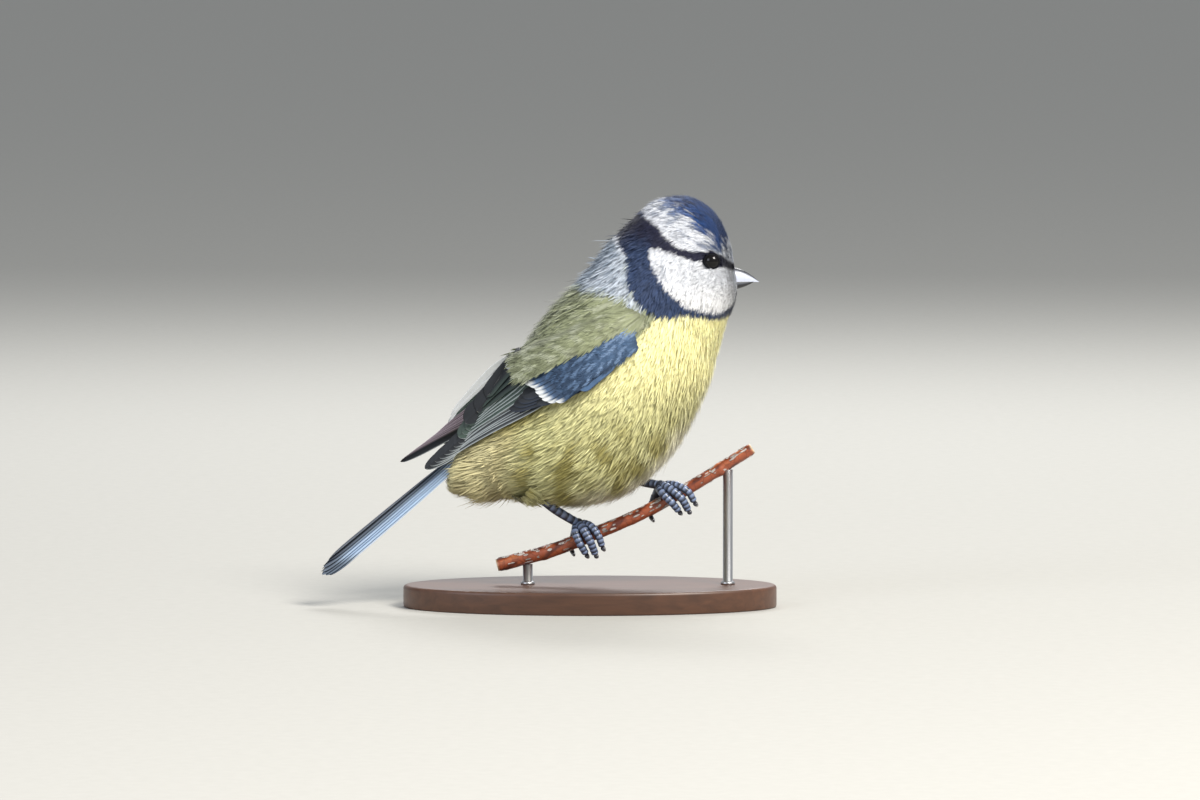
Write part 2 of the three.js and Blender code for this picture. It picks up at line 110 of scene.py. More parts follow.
# %% [markdown]
# A few small tools serve the whole file: a smooth curve through rows of points, vectors made one
# long, a soft step, and a smooth random field whose waves have a size in mm. The field stands for all
# that varies on a real bird: streaks, ragged edges, worn tips.

# %% Curves, steps and noise
def along_curve(points, t):
    """A smooth curve through rows of points, at places t counted in rows."""
    p = np.vstack([2 * points[0] - points[1], points, 2 * points[-1] - points[-2]])
    i = np.clip(np.floor(t).astype(int), 0, len(points) - 2)
    f = (t - i)[..., None]
    a, b, c, d = p[i], p[i + 1], p[i + 2], p[i + 3]
    return 0.5 * (2 * b + (c - a) * f + (2 * a - 5 * b + 4 * c - d) * f**2 + (3 * b - a - 3 * c + d) * f**3)


def unit(v):
    """Each vector made one long."""
    return v / np.maximum(np.linalg.norm(v, axis=-1, keepdims=True), 1e-9)


def ease(low, high, x):
    """0 below low, 1 above high, smooth between them."""
    f = np.clip((x - low) / (high - low), 0, 1)
    return f * f * (3 - 2 * f)


def ripple(points, size, seed):
    """A smooth random field, about -1 to 1, whose waves are about size mm long."""
    pick = np.random.default_rng(seed)
    waves = unit(pick.normal(size=(10, 3))) * (2 * np.pi / size) * pick.uniform(0.6, 1.6, (10, 1))
    return np.sin(points @ waves.T + pick.uniform(0, 6.28, 10)).sum(-1) / 3.2


print("a soft step at a quarter of its way:", float(ease(0, 1, 0.25)))

# %% [markdown]
# The body is one loft: sections from the root of the bill to the root of the tail, each with a point
# on the back, a point on the belly and a half width. A smooth curve through each column of that
# table gives the section at any place t, and an angle a walks round it, 0 on the back, positive
# on the left side. This surface is where the tips of the coat are. The skin lies under it.

# %% The body's surface
BODY = np.array([
    [32.8, 74.5, 32.8, 74.3, 0.4], [32.1, 77.8, 33.0, 71.5, 3.4], [31.2, 82.7, 32.6, 68.5, 6.6],
    [27.9, 89.0, 31.7, 66.1, 9.9], [22.0, 92.4, 30.8, 64.3, 11.9], [14.6, 91.5, 29.9, 61.3, 12.9],
    [9.0, 86.7, 29.0, 58.0, 13.9], [4.5, 82.2, 28.1, 54.8, 15.2], [0.4, 76.9, 26.5, 49.4, 16.7],
    [-4.5, 71.5, 23.8, 43.4, 17.8], [-9.4, 66.3, 20.2, 36.9, 18.4], [-13.9, 59.8, 14.6, 30.3, 18.2],
    [-18.2, 53.2, 6.7, 24.8, 16.9], [-22.0, 46.6, -3.4, 22.8, 14.2], [-25.6, 41.0, -14.6, 24.2, 10.8],
    [-28.4, 36.8, -24.7, 24.8, 7.2], [-30.4, 33.6, -31.0, 25.6, 4.6], [-32.2, 30.2, -32.2, 29.8, 0.4],
])
LAST = len(BODY) - 1


def section(t):
    """Middle and up vector in x, z, and half width, of the body's section at t."""
    row = along_curve(BODY, np.clip(t, 0.02, LAST - 0.02))
    middle = (row[..., 0:2] + row[..., 2:4]) / 2
    return middle, row[..., 0:2] - middle, np.maximum(row[..., 4], 0.2)


def body(t, a):
    """Points of the body's surface in mm."""
    middle, up, half = section(t)
    ring = middle + up * np.cos(a)[..., None]
    return np.stack([ring[..., 0], half * np.sin(a), ring[..., 1]], -1)


print("body length in mm:", round(float(BODY[0, 0] - BODY[-1, 0]), 1))

# %% [markdown]
# Eyes and wings lie against the body's side, so they ask how far out it is at a place in the side
# view. The section through that place is found by halving, and as each section is an ellipse, its
# half width and the height on it give the answer.

# %% The body's side
HALVINGS = 46  # of the search for a place on the side, so many that its slopes come out smooth


def on_side(x, z):
    """How far the body's side lies from the middle plane at x, z."""
    low = np.full(np.shape(x), 1.0)
    high = np.full(np.shape(x), LAST - 0.2)
    for _ in range(HALVINGS):
        t = (low + high) / 2
        middle, up, _half = section(t)
        ahead = (x - middle[..., 0]) * up[..., 1] - (z - middle[..., 1]) * up[..., 0]
        low = np.where(ahead < 0, t, low)
        high = np.where(ahead < 0, high, t)
    middle, up, half = section(low)
    q = ((x - middle[..., 0]) * up[..., 0] + (z - middle[..., 1]) * up[..., 1]) / (up**2).sum(-1)
    return half * np.sqrt(np.maximum(0, 1 - q * q))


middle_side = on_side(np.array(0.0), np.array(60.0))
print("half width of the body at x 0, z 60 in mm:", round(float(middle_side), 1))

# %% [markdown]
# The markings are the same for the skin and for the coat, so they are one function of a place on
# the body. Each patch is an outline in the side view, in mm. The distance to that outline, roughened
# by a little noise, says how much of the patch's colour a feather has: a soft, ragged edge, as where
# feathers of two colours overlap. Both sides of the bird share the outlines.

# %% Outlines of the patches
OUTLINES = {
    "cap": [(33.5, 84.0), (31.7, 83.0), (29.7, 82.0), (27.9, 82.4), (26.1, 84.0), (24.3, 86.0),
            (22.5, 87.9), (20.2, 89.4), (18.0, 90.6), (15.0, 92.6), (22.0, 96.0), (34.0, 92.0)],
    "stripe": [(32.8, 76.9), (31.0, 78.2), (29.7, 79.4), (27.4, 80.7), (24.7, 80.5), (22.5, 80.9),
               (20.2, 81.5), (18.4, 82.7), (16.6, 84.6), (14.8, 86.6), (12.6, 88.1), (9.6, 90.0),
               (5.0, 86.0), (8.0, 80.5), (13.7, 81.3), (15.7, 81.3), (18.0, 80.6), (20.2, 79.7),
               (22.5, 79.0), (24.5, 78.0), (26.1, 76.9), (28.3, 76.8), (30.1, 76.7), (32.3, 75.4)],
    "cheek": [(13.7, 81.6), (15.7, 81.2), (18.0, 80.5), (20.2, 79.6), (22.5, 79.0), (24.5, 78.1),
              (26.1, 77.0), (28.3, 76.9), (30.1, 76.8), (34.0, 75.4), (34.5, 70.8), (32.5, 68.7),
              (31.0, 67.4), (28.8, 66.9), (26.1, 67.2), (23.4, 68.0), (21.1, 68.7), (19.3, 70.1),
              (17.5, 71.9), (15.7, 74.3), (14.4, 76.7), (13.4, 79.4)],
    "collar": [(6.0, 89.0), (8.3, 84.7), (8.1, 82.0), (8.3, 79.4), (8.5, 76.7), (8.8, 73.2),
               (10.3, 70.1), (12.6, 67.7), (15.3, 66.3), (18.4, 66.3), (21.6, 66.6), (24.7, 66.0),
               (27.4, 65.5), (30.1, 65.6), (33.5, 67.0), (32.0, 72.0), (20.0, 76.0), (14.0, 84.0),
               (12.0, 90.0)],
    "nape": [(10.0, 87.5), (9.0, 80.0), (9.2, 76.0), (10.0, 71.5), (11.8, 67.6), (9.4, 68.6),
             (6.7, 70.3), (3.6, 71.3), (0.4, 71.8), (-4.0, 73.0), (-2.0, 84.0), (6.0, 90.0)],
    "yellow": [(15.7, 66.8), (13.9, 65.2), (12.4, 63.4), (10.3, 61.0), (2.0, 54.0), (-10.0, 47.5),
               (-25.0, 40.0), (-34.0, 33.0), (-36.0, 20.0), (0.0, 15.0), (30.0, 35.0), (36.0, 68.0),
               (26.0, 68.5)],
}
print("outlined patches:", ", ".join(OUTLINES))

# %% [markdown]
# One could paint an image and lay it on the body, but paint has no places of its own on strands that
# stand off the skin. A distance to each outline works for any place in space. It is found edge by
# edge, and a count of the edges crossed says whether the place is inside.

# %% Distance to an outline
def to_outline(x, z, outline):
    """Distance in mm from each x, z to the outline, positive inside it."""
    corners = np.array(outline)
    nexts = np.roll(corners, -1, axis=0)
    away = np.full(x.shape, 1e9)
    inside = np.zeros(x.shape, bool)
    for (ax, az), (bx, bz) in zip(corners, nexts):
        ex, ez = bx - ax, bz - az
        f = np.clip(((x - ax) * ex + (z - az) * ez) / (ex * ex + ez * ez), 0, 1)
        away = np.minimum(away, np.hypot(x - ax - f * ex, z - az - f * ez))
        crosses = (az > z) != (bz > z)
        reach = ax + (z - az) * ex / (ez if ez else 1e-9)
        inside ^= crosses & (x < reach)
    return np.where(inside, away, -away)


def mixed(colour, other, share):
    """A colour with a share of another in it."""
    return colour + (np.asarray(other) - colour) * np.asarray(share)[..., None]


def all_over(name, p):
    """One colour of the plumage at every place p."""
    return np.broadcast_to(PLUMAGE[name], p.shape)


inside_cheek = to_outline(np.array([24.0]), np.array([73.0]), OUTLINES["cheek"])
print("the middle of the cheek lies inside its edge by mm:", round(float(inside_cheek[0]), 1))

# %% [markdown]
# Above, the body is grey-olive. Below, it is lemon on the breast and duller on the flank, with olive
# clouds, a pale belly that has a dark line down its middle, and cream under the tail. The clouds are
# smooth noise, and the streaks are the same noise, drawn out along the lie of the feathers.

# %% Colours of back and underside
def back_colour(p):
    x, z = p[..., 0], p[..., 2]
    streak = ripple(p * [1.0, 1.0, 1.6], 3.5, 2)
    colour = mixed(all_over("mantle", p), PLUMAGE["mantle_grey"], 0.45 * ease(-0.3, 0.9, streak))
    return mixed(colour, PLUMAGE["rump"], ease(-14, -24, x) * ease(58, 46, z))


def underside_colour(p):
    x, y, z = p[..., 0], np.abs(p[..., 1]), p[..., 2]
    cloud = ripple(p, 9, 1)
    lank = ripple(np.stack([(x + z) * 0.12, x - z, y], -1), 2.2, 7)
    # lower down the breast turns to duller flank and the olive clouds grow: partly the bird's own colours,
    # partly painted shade towards the bottom
    colour = mixed(all_over("breast", p), PLUMAGE["flank"], ease(60, 42, z))
    colour = mixed(colour, PLUMAGE["olive"], 0.75 * ease(-0.2, 0.9, cloud) * ease(50, 32, z))
    colour = mixed(colour, PLUMAGE["olive"] * 0.8, 0.35 * ease(0.2, 1.0, lank) * ease(50, 36, z))
    colour = mixed(colour, PLUMAGE["undertail"], 0.8 * ease(-12, -22, x))
    # painted shade: darker olive on the flank just under the wing's lower edge
    shade_under_wing = ease(-6, -14, x) * ease(-29, -22, x) * ease(-2.5, 1.5, z - 40 - 0.45 * (x + 20))
    colour = mixed(colour, PLUMAGE["olive"] * 0.9, 0.7 * shade_under_wing)
    belly = ease(13, 4, y + 2.5 * cloud) * ease(52, 40, z + 3 * lank) * ease(-8, 4, x)
    colour = mixed(colour, PLUMAGE["belly"], 0.75 * belly)
    line = ease(6, 2, y + 1.5 * lank) * ease(52, 46, z) * ease(34, 39, z)
    return mixed(colour, PLUMAGE["ventral"], 0.6 * line * ease(-0.4, 0.5, lank))


print("colours of the underside: breast, flank, olive, belly, ventral line, undertail")

# %% [markdown]
# The head's pattern lies over that: nape, white brow, collar, eye stripe, cheek, bib and cap, each
# over the one before. White and blue meet in single feathers, so the cap's edge and the grey of the
# brow follow noise drawn out along the lie of the crown's feathers, as fine as 0.7 mm.

# %% The whole pattern
def markings(p):
    """Linear colour of the coat at points p in mm."""
    x, y, z = p[..., 0], np.abs(p[..., 1]), p[..., 2]
    rough = 0.35 * ripple(p, 2.2, 5) + 0.25 * ripple(p, 0.9, 6)
    streak = ripple(p * [1.0, 1.0, 1.6], 3.5, 2)
    swept = np.stack([(0.5 * z - 0.86 * x) * 0.16, 0.5 * x + 0.86 * z, y], -1)
    hairs = ripple(swept, 1.5, 3) + 0.5 * ripple(swept, 0.7, 4)

    def patch(name, soft=0.35):
        return ease(-soft, soft, to_outline(x, z, OUTLINES[name]) + rough * soft)

    colour = mixed(back_colour(p), underside_colour(p), patch("yellow", 0.9))
    shade = ease(9.5, 4.0, y) + 0.6 * ease(0.3, 1.0, streak)
    nape = mixed(all_over("nape", p), PLUMAGE["nape_dark"], 0.65 * np.minimum(shade, 1))
    colour = mixed(colour, nape, patch("nape", 1.3))
    head = ease(-0.6, 0.6, (z - 74) + (x - 12.5) * 1.3) * ease(66, 68, z)
    high = to_outline(x, z, OUTLINES["cap"])
    brow_grey = 0.85 * ease(-0.6, 0.6, hairs) * ease(-6.5, -1.0, high)
    colour = mixed(colour, mixed(all_over("white", p), PLUMAGE["brow_grey"], brow_grey), head)
    colour = mixed(colour, PLUMAGE["collar"], patch("collar"))
    nape_end = ease(15, 12, x) * ease(86, 80, z + 0.8 * hairs)
    stripe = mixed(all_over("stripe", p), PLUMAGE["collar"], nape_end)
    colour = mixed(colour, stripe, patch("stripe", 0.25))
    # painted light: the lower cheek is whiter, for light that shines through its thin feathers
    cheek = mixed(all_over("white", p), np.ones(3), 0.6 * ease(75, 69, z))
    colour = mixed(colour, cheek, patch("cheek"))
    bib = ease(3.0, 1.6, y + 0.6 * rough) * ease(72.0, 70.6, z + rough) * ease(27, 29, x) * ease(64, 66, z)
    colour = mixed(colour, PLUMAGE["stripe"], 0.95 * bib)
    cap = mixed(all_over("cap", p), PLUMAGE["cap_dark"], 0.85 * ease(31, 23, x) * ease(-0.6, 0.5, -hairs))
    cap = mixed(cap, PLUMAGE["cap_grey"], 0.8 * ease(25, 16, x) * ease(0.1, 0.9, hairs))
    return mixed(colour, cap, ease(-1.0, 1.0, high + 0.9 * hairs))


crown = markings(np.array([[24.0, 0.0, 91.5]]))[0]
print("linear colour on top of the crown:", crown.round(3))

# %% [markdown]
# All meshes are made from arrays of points and faces, which is quick for a coat of many thousand
# strands. Colours go on as an attribute that the material reads. The map named OFBake says where on
# the unwrapped skin each strand is rooted, so that its colour can be baked.

# %% A piece from arrays
def make_piece(name, points, faces, material, tint=None, uv=None, nodes=()):
    """A smooth mesh piece from points in mm and rows of 3 or 4 corners, riding on the body."""
    mesh = bpy.data.meshes.new(name)
    rows = [np.asarray(f, np.int32) for f in faces]
    corners = np.concatenate([f.ravel() for f in rows])
    sizes = np.concatenate([np.full(len(f), f.shape[1]) for f in rows])
    mesh.vertices.add(len(points))
    mesh.vertices.foreach_set("co", (np.asarray(points) * MM).astype(np.float32).ravel())
    mesh.loops.add(len(corners))
    mesh.loops.foreach_set("vertex_index", corners)
    mesh.polygons.add(len(sizes))
    mesh.polygons.foreach_set("loop_start", (np.cumsum(sizes) - sizes).astype(np.int32))
    mesh.update(calc_edges=True)
    mesh.validate()
    mesh.shade_smooth()
    if tint is not None:
        rgba = np.ones((len(points), 4), np.float32)
        rgba[:, :3] = np.clip(tint, 0, 1)
        mesh.color_attributes.new("tint", "FLOAT_COLOR", "POINT").data.foreach_set("color", rgba.ravel())
    if uv is not None:
        layer = mesh.uv_layers.new(name="OFBake")
        layer.uv.foreach_set("vector", np.asarray(uv, np.float32)[corners].ravel())
    piece = bpy.data.objects.new(name, mesh)
    bpy.context.scene.collection.objects.link(piece)
    piece.data.materials.append(material)
    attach(piece, "root")
    if nodes:
        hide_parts(*nodes)
    print(f"{name}: {int((sizes - 2).sum())} triangles")
    return piece


# %% [markdown]
# Most forms here are grids of points, rows along and columns across, laid out as a sheet or rolled up
# to a tube. The rim of a grid joins the upper face of a sheet to its lower one, since real things
# are never without thickness.

# %% Grids of points
def grid_faces(rows, columns, closed=False, start=0):
    """Quads of a grid of rows x columns points; closed joins the last column to the first."""
    i = np.arange(rows - 1)[:, None] * columns
    j = np.arange(columns if closed else columns - 1)[None, :]
    k = (j + 1) % columns
    quads = np.stack([i + j, i + k, i + columns + k, i + columns + j], -1)
    return quads.reshape(-1, 4) + start


def rim_of(rows, columns):
    """The outer ring of a grid of points, in turn."""
    return np.concatenate([
        np.arange(columns),
        np.arange(1, rows) * columns + columns - 1,
        (rows - 1) * columns + np.arange(columns - 2, -1, -1),
        np.arange(rows - 2, 0, -1) * columns,
    ])


print("a grid of 3 x 4 points has", len(grid_faces(3, 4)), "quads and", len(rim_of(3, 4)), "rim points")

# %% [markdown]
# A material is a small tree of nodes. These helpers add a node with its settings and links, start
# and close a tree, and turn the size of a grain in millimetres to a noise's scale. Nearly every
# material here takes its colour from the tint attribute and breaks it up with a fine noise.

# %% Helpers for materials
def add(tree, kind, inputs=(), links=(), **settings):
    """Adds a node: inputs are (socket, value), links are (socket, node, output)."""
    made = tree.nodes.new(kind)
    for key, value in settings.items():
        setattr(made, key, value)
    for socket, value in inputs:
        made.inputs[socket].default_value = value
    for socket, source, output in links:
        tree.links.new(source.outputs[output], made.inputs[socket])
    return made


def new_material(name):
    """An empty material; returns it, its node tree and its output node."""
    material = bpy.data.materials.new(name)
    material.use_nodes = True
    material.node_tree.nodes.clear()
    return material, material.node_tree, add(material.node_tree, "ShaderNodeOutputMaterial")


def per_mm(size):
    """The scale of a noise in metres whose grains are about size mm."""
    return 1 / (size * MM)


def close_material(tree, output, shader):
    """Links the finished shader to the output."""
    tree.links.new(shader.outputs["BSDF"], output.inputs["Surface"])


def tinted(tree, grain_mm, low, high, name="tint"):
    """The tint attribute, made darker and lighter by a noise of grain_mm."""
    tint = add(tree, "ShaderNodeVertexColor", layer_name=name)
    place = add(tree, "ShaderNodeTexCoord")
    noise = add(tree, "ShaderNodeTexNoise", [("Scale", per_mm(grain_mm)), ("Detail", 3.0)],
                [("Vector", place, "Object")])
    spread = add(tree, "ShaderNodeMapRange", [("To Min", low), ("To Max", high)],
                 [("Value", noise, "Fac")])
    return noise, add(tree, "ShaderNodeMix", [("Factor", 1.0)],
                      [("A", tint, "Color"), ("B", spread, "Result")],
                      data_type="RGBA", blend_type="MULTIPLY")


print("a noise with grains of 1 mm has the scale", round(per_mm(1.0)))

# %% [markdown]
# Feathers are keratin, as are nails. A contour feather is matt and soft: its barbs scatter light, so
# it gets a high roughness and a weak sheen, which lightens it where it turns away. Its colour comes
# from the markings, broken up by noise as fine as a barb, 0.15 mm, drawn at 0.4 mm so that it shows.
# The skin under it is dry and dull. It only shows in the gaps between feathers, where its colour is
# darkened as painted shade.

# %% Contour feather and skin
def contour_feather():
    material, tree, output = new_material("keratin_contour_feather")
    _noise, colour = tinted(tree, 0.4, 0.82, 1.12)
    shader = add(tree, "ShaderNodeBsdfPrincipled",
                 [("Roughness", 0.72), ("IOR", 1.55), ("Specular IOR Level", 0.25),
                  ("Sheen Weight", 0.18), ("Sheen Roughness", 0.45)],
                 [("Base Color", colour, "Result")])
    close_material(tree, output, shader)
    return material


def bird_skin():
    material, tree, output = new_material("skin_under_the_coat")
    # painted shade: the noise darkens the skin's colour to between 0.6 and 0.9 of its tint
    noise, colour = tinted(tree, 0.8, 0.6, 0.9)
    bump = add(tree, "ShaderNodeBump", [("Strength", 0.4), ("Distance", 0.2 * MM)],
               [("Height", noise, "Fac")])
    shader = add(tree, "ShaderNodeBsdfPrincipled", [("Roughness", 0.9), ("Specular IOR Level", 0.1)],
                 [("Base Color", colour, "Result"), ("Normal", bump, "Normal")])
    close_material(tree, output, shader)
    return material


COAT = contour_feather()
SKIN = bird_skin()
print("materials:", COAT.name, SKIN.name)

# %% [markdown]
# How deep the coat is, how long and wide its feathers are, and how much room each one has: tiny and
# dense round the bill, longest on flank and undertail. Each is a row of values along the body, from
# the bill to the tail, as a bird is measured feather tract by feather tract.

# %% How the coat grows
PLACES = [0, 1, 2, 3.5, 5, 6.5, 8, 10, 12, 14, 16, 17]
DEPTH = [0.25, 0.35, 0.5, 0.7, 0.9, 1.2, 1.6, 2.0, 2.1, 1.8, 1.3, 0.8]
LENGTH = [0.7, 1.0, 1.4, 2.1, 2.9, 3.7, 4.6, 5.6, 6.4, 7.0, 6.6, 5.5]
WIDTH = [0.4, 0.5, 0.65, 0.9, 1.2, 1.5, 1.9, 2.3, 2.5, 2.5, 2.2, 1.8]
ROOM = [0.05, 0.07, 0.11, 0.2, 0.34, 0.48, 0.62, 0.75, 0.8, 0.75, 0.6, 0.4]


def grown(values, t):
    """One of these rows read at any place t."""
    return np.interp(t, PLACES, values)


print("depth of the coat on cheek and flank in mm:", grown(DEPTH, [3.5, 11]).round(2))

# %% [markdown]
# The skin is the body's surface moved in by the depth of the coat. One closed mesh stands for all
# four nodes of flesh, and it carries the coat's markings, so a gap in the coat never shows a wrong
# colour. They are made darker, as painted shade of the gaps. Its map is the unwrapped body: along it
# by t, and round it by the angle.

# %% The skin
def skin_points(t, a):
    """The skin: the body's surface moved in by the coat's depth."""
    middle, up, half = section(t)
    reach = np.linalg.norm(up, axis=-1)
    depth = grown(DEPTH, t)
    ring = middle + up * (np.maximum(reach - depth, 0.3 * reach) / reach * np.cos(a))[..., None]
    across = np.maximum(half - depth, 0.3 * half) * np.sin(a)
    return np.stack([ring[..., 0], across, ring[..., 1]], -1)


# painted shade: the skin carries the coat's markings darkened, for the shade in the gaps between feathers
SKIN_PAINTED_SHADE = 0.7  # how dark the skin's markings are beside the coat's
rows, columns = 200, 144
t_rows = np.linspace(0.05, LAST - 0.05, rows)
a_columns = np.linspace(-np.pi, np.pi, columns + 1)
t_grid, a_grid = np.meshgrid(t_rows, a_columns, indexing="ij")
points = skin_points(t_grid, a_grid)
ends = np.stack([points[0].mean(0), points[-1].mean(0)])
skin_flat = points.reshape(-1, 3)
skin_all = np.vstack([skin_flat, ends])
row = np.arange(columns)
first, last = len(skin_flat), (rows - 1) * (columns + 1)
caps = np.vstack([
    np.stack([np.full(columns, first), row + 1, row], -1),
    np.stack([np.full(columns, first + 1), last + row, last + row + 1], -1),
])
uv_skin = np.stack([t_grid.ravel() / LAST, a_grid.ravel() / (2 * np.pi) + 0.5], -1)
uv_skin = np.vstack([uv_skin, [[0, 0.5], [1, 0.5]]])
make_piece("skin", skin_all, [grid_faces(rows, columns + 1), caps], SKIN,
           tint=markings(skin_all) * SKIN_PAINTED_SHADE, uv=uv_skin, nodes=["head", "neck", "torso", "rump"])

# %% [markdown]
# A small feather is a fan of strands, its barbs. Each strand is a flat ribbon of three lengths that
# ends in a point. It starts at the skin, lies back along the body and just reaches the surface of
# the coat. The fan follows the body's own surface, so feathers bend with it and overlap like tiles.
#
# Particle hair would be quicker to set up, but only real mesh is exported, so every ribbon is made
# here, all at once, with arrays.

# %% Fans of barbs
STEPS = np.array([0.0, 0.4, 0.76, 1.0])
RIBBON = np.array([1.2, 1.35, 0.85])  # width of a strand along it, in shares of its room
# painted shade: each strand is darker at its root, which lies deep among the others, and a little lighter
# at its tip
RIBBON_PAINTED_SHADE = np.array([0.58, 0.58, 0.87, 0.87, 1.0, 1.0, 1.08])  # darker at the root, where it lies deep
RIBBON_POINTS = len(RIBBON_PAINTED_SHADE)


def lifted(surface, p, q, height):
    """Points at a height over a surface that takes two places."""
    e = 1e-3
    here = surface(p, q)
    out = unit(np.cross(surface(p + e, q) - here, surface(p, q + e) - here))
    return here + out * height[..., None]


def fans(surface, p, q, swing, length, width, depth, barbs, colour_at, value, flip=-1, loose=0.28):
    """Fans rooted at p, q of a surface. swing turns each in its plane; value makes it lighter.

    Returns points, quads, tips, tint and the share of the way across and along for the map."""
    n = len(p)
    e = 1e-3
    here = surface(p, q)
    speed_p = np.linalg.norm(surface(p + e, q) - here, axis=-1) / e
    speed_q = np.linalg.norm(surface(p, q + e) - here, axis=-1) / e
    fan = np.linspace(-1, 1, barbs)[None, :] + draw.normal(0, 0.5 / barbs, (n, barbs))
    strand = 1 + draw.normal(0, 0.1, (n, barbs))
    lift = draw.normal(0, loose, (n, barbs))

    def column(v):
        return np.broadcast_to(np.asarray(v, float), (n,))[:, None]

    run = column(length) * strand * (1 - 0.28 * fan**2)
    half = column(width) / 2

    def place(s, edge):
        along = run * s
        across = half * fan * (0.25 + 0.75 * s**0.75) + edge
        turn_c, turn_s = np.cos(column(swing)), np.sin(column(swing))
        dp = (along * turn_c - across * turn_s) / column(speed_p)
        dq = (along * turn_s + across * turn_c) / column(speed_q)
        under = column(depth) * (1 - s) ** 1.5 + 0.12 * half * fan**2
        return lifted(surface, column(p) + dp, column(q) + dq, flip * (lift * s * column(depth) - under))

    ribbons = []
    for s, share in zip(STEPS[:-1], RIBBON):
        edge = column(width) / barbs * share * 0.6
        ribbons += [place(s, -edge), place(s, edge)]
    ribbons.append(place(STEPS[-1], 0))
    points = np.stack(ribbons, 2)
    tint = colour_at(place(0.62, 0)) * (column(value) * (1 + draw.normal(0, 0.07, (n, barbs))))[..., None]
    # painted shade at the roots of the strands
    tints = tint[:, :, None, :] * RIBBON_PAINTED_SHADE[None, None, :, None]
    starts = np.arange(n * barbs)[:, None] * RIBBON_POINTS
    quads = np.vstack([starts + [0, 1, 3, 2], starts + [2, 3, 5, 4]])
    tips = starts + [4, 5, 6]
    steps = np.repeat(STEPS, 2)[:RIBBON_POINTS]
    across = np.broadcast_to(((fan + 1.3) / 2.6)[:, :, None], points.shape[:3])
    local = np.stack([np.broadcast_to(steps, points.shape[:3]), across], -1)
    return points.reshape(-1, 3), quads, tips, tints.reshape(-1, 3), local.reshape(n, -1, 2)


print("points in a strand:", RIBBON_POINTS)

# %% [markdown]
# On the bake map, each fan gets a small patch at its root's place on the unwrapped skin. So feathers
# that grow side by side on the bird are side by side on the map too.

# %% Patches of the map
PATCH = 0.003  # the size of a fan's patch


def patches(local, u, v):
    """Map places: a small patch for each fan, at its root's place on the unwrapped skin."""
    root = np.stack([u, v], -1)[:, None, :]
    return (root + (np.clip(local, 0, 1) - 0.5) * PATCH).reshape(-1, 2)


print("patches side by side on the map:", round(1 / PATCH))

# %% [markdown]
# Roots are spread so that each feather has its room: more to a square millimetre on the face than
# on the flank. An additive sequence with two irrational steps spreads them evenly without rows, and
# the density is met by drawing places through the area summed along and round the body.

# %% Roots of the coat
EVEN_STEPS = (0.7548776662, 0.5698402910)  # two irrational steps that never fall into rows


def spread_roots():
    """Places t, a of the roots, as dense as the room says."""
    t = np.linspace(0.12, LAST - 0.3, 600)
    a = np.linspace(-np.pi, np.pi, 361)
    tg, ag = np.meshgrid(t, a, indexing="ij")
    p = body(tg, ag)
    along, round_ = np.gradient(p, axis=0), np.gradient(p, axis=1)
    share = np.linalg.norm(np.cross(along, round_), axis=-1) / grown(ROOM, tg)
    count = int(share.sum())
    rows_sum = np.concatenate([[0], np.cumsum(share.sum(1))])
    steps = (0.5 + np.arange(count)[:, None] * EVEN_STEPS) % 1
    where = np.interp(steps[:, 0] * rows_sum[-1], rows_sum, np.arange(len(rows_sum)) - 0.5)
    root_t = np.interp(where, np.arange(len(t)), t)
    row = np.clip(where.astype(int), 0, len(t) - 1)
    round_sum = np.cumsum(share, axis=1)
    round_sum = (round_sum - round_sum[:, :1]) / (round_sum[:, -1:] - round_sum[:, :1])
    root_a = np.empty(count)
    for i in np.unique(row):
        these = row == i
        root_a[these] = np.interp(steps[these, 1], round_sum[i], a)
    return root_t, root_a


roots_t, roots_a = spread_roots()
print("feathers of the coat:", len(roots_t))

# %% [markdown]
# The coat is cut into pieces by feather tract, as a museum label would name them. The eye is set in
# the side of the head and stands a little proud of it, so feathers have to keep clear of it.

# %% Feather tracts and the eye's place
EYE = {"x": 27.2, "z": 78.4, "radius": 2.0, "proud": 0.75}
EYE["y"] = float(on_side(np.array(EYE["x"]), np.array(EYE["z"]))) + EYE["proud"] - EYE["radius"]


def clear_of_eye(p, radius):
    """Whether places are further from the eye than radius, in the side view."""
    return np.hypot(p[..., 0] - EYE["x"], p[..., 2] - EYE["z"]) > radius


def tract_of(t, a):
    """The name of the feather tract at each place of the body."""
    belly = np.abs(a) > 2.45
    back = np.abs(a) < 0.8
    right = a < 0
    rules = [
        (t < 3.0, "coat_face"),
        ((t < 5.6) & back, "coat_crown"),
        ((t < 5.6) & right, "coat_cheek_right"),
        (t < 5.6, "coat_cheek_left"),
        (t < 8.0, "coat_neck"),
        ((t < 13.2) & back, "coat_mantle"),
        ((t < 11.0) & belly, "coat_breast"),
        ((t < 14.0) & belly, "coat_belly"),
        ((t < 14.0) & right, "coat_flank_right"),
        (t < 14.0, "coat_flank_left"),
        (back, "coat_rump"),
    ]
    return np.select([r[0] for r in rules], [r[1] for r in rules], "coat_undertail")


print("eye's middle in mm:", EYE["x"], round(EYE["y"], 2), EYE["z"])

# %% [markdown]
# Now the coat itself, tract by tract. Feathers that would lie over the eye are left out, and so are
# those well under the folded wings. Each feather varies a little in length, direction and lightness,
# and the neck's vary most in lightness, so the coat looks soft and not combed.

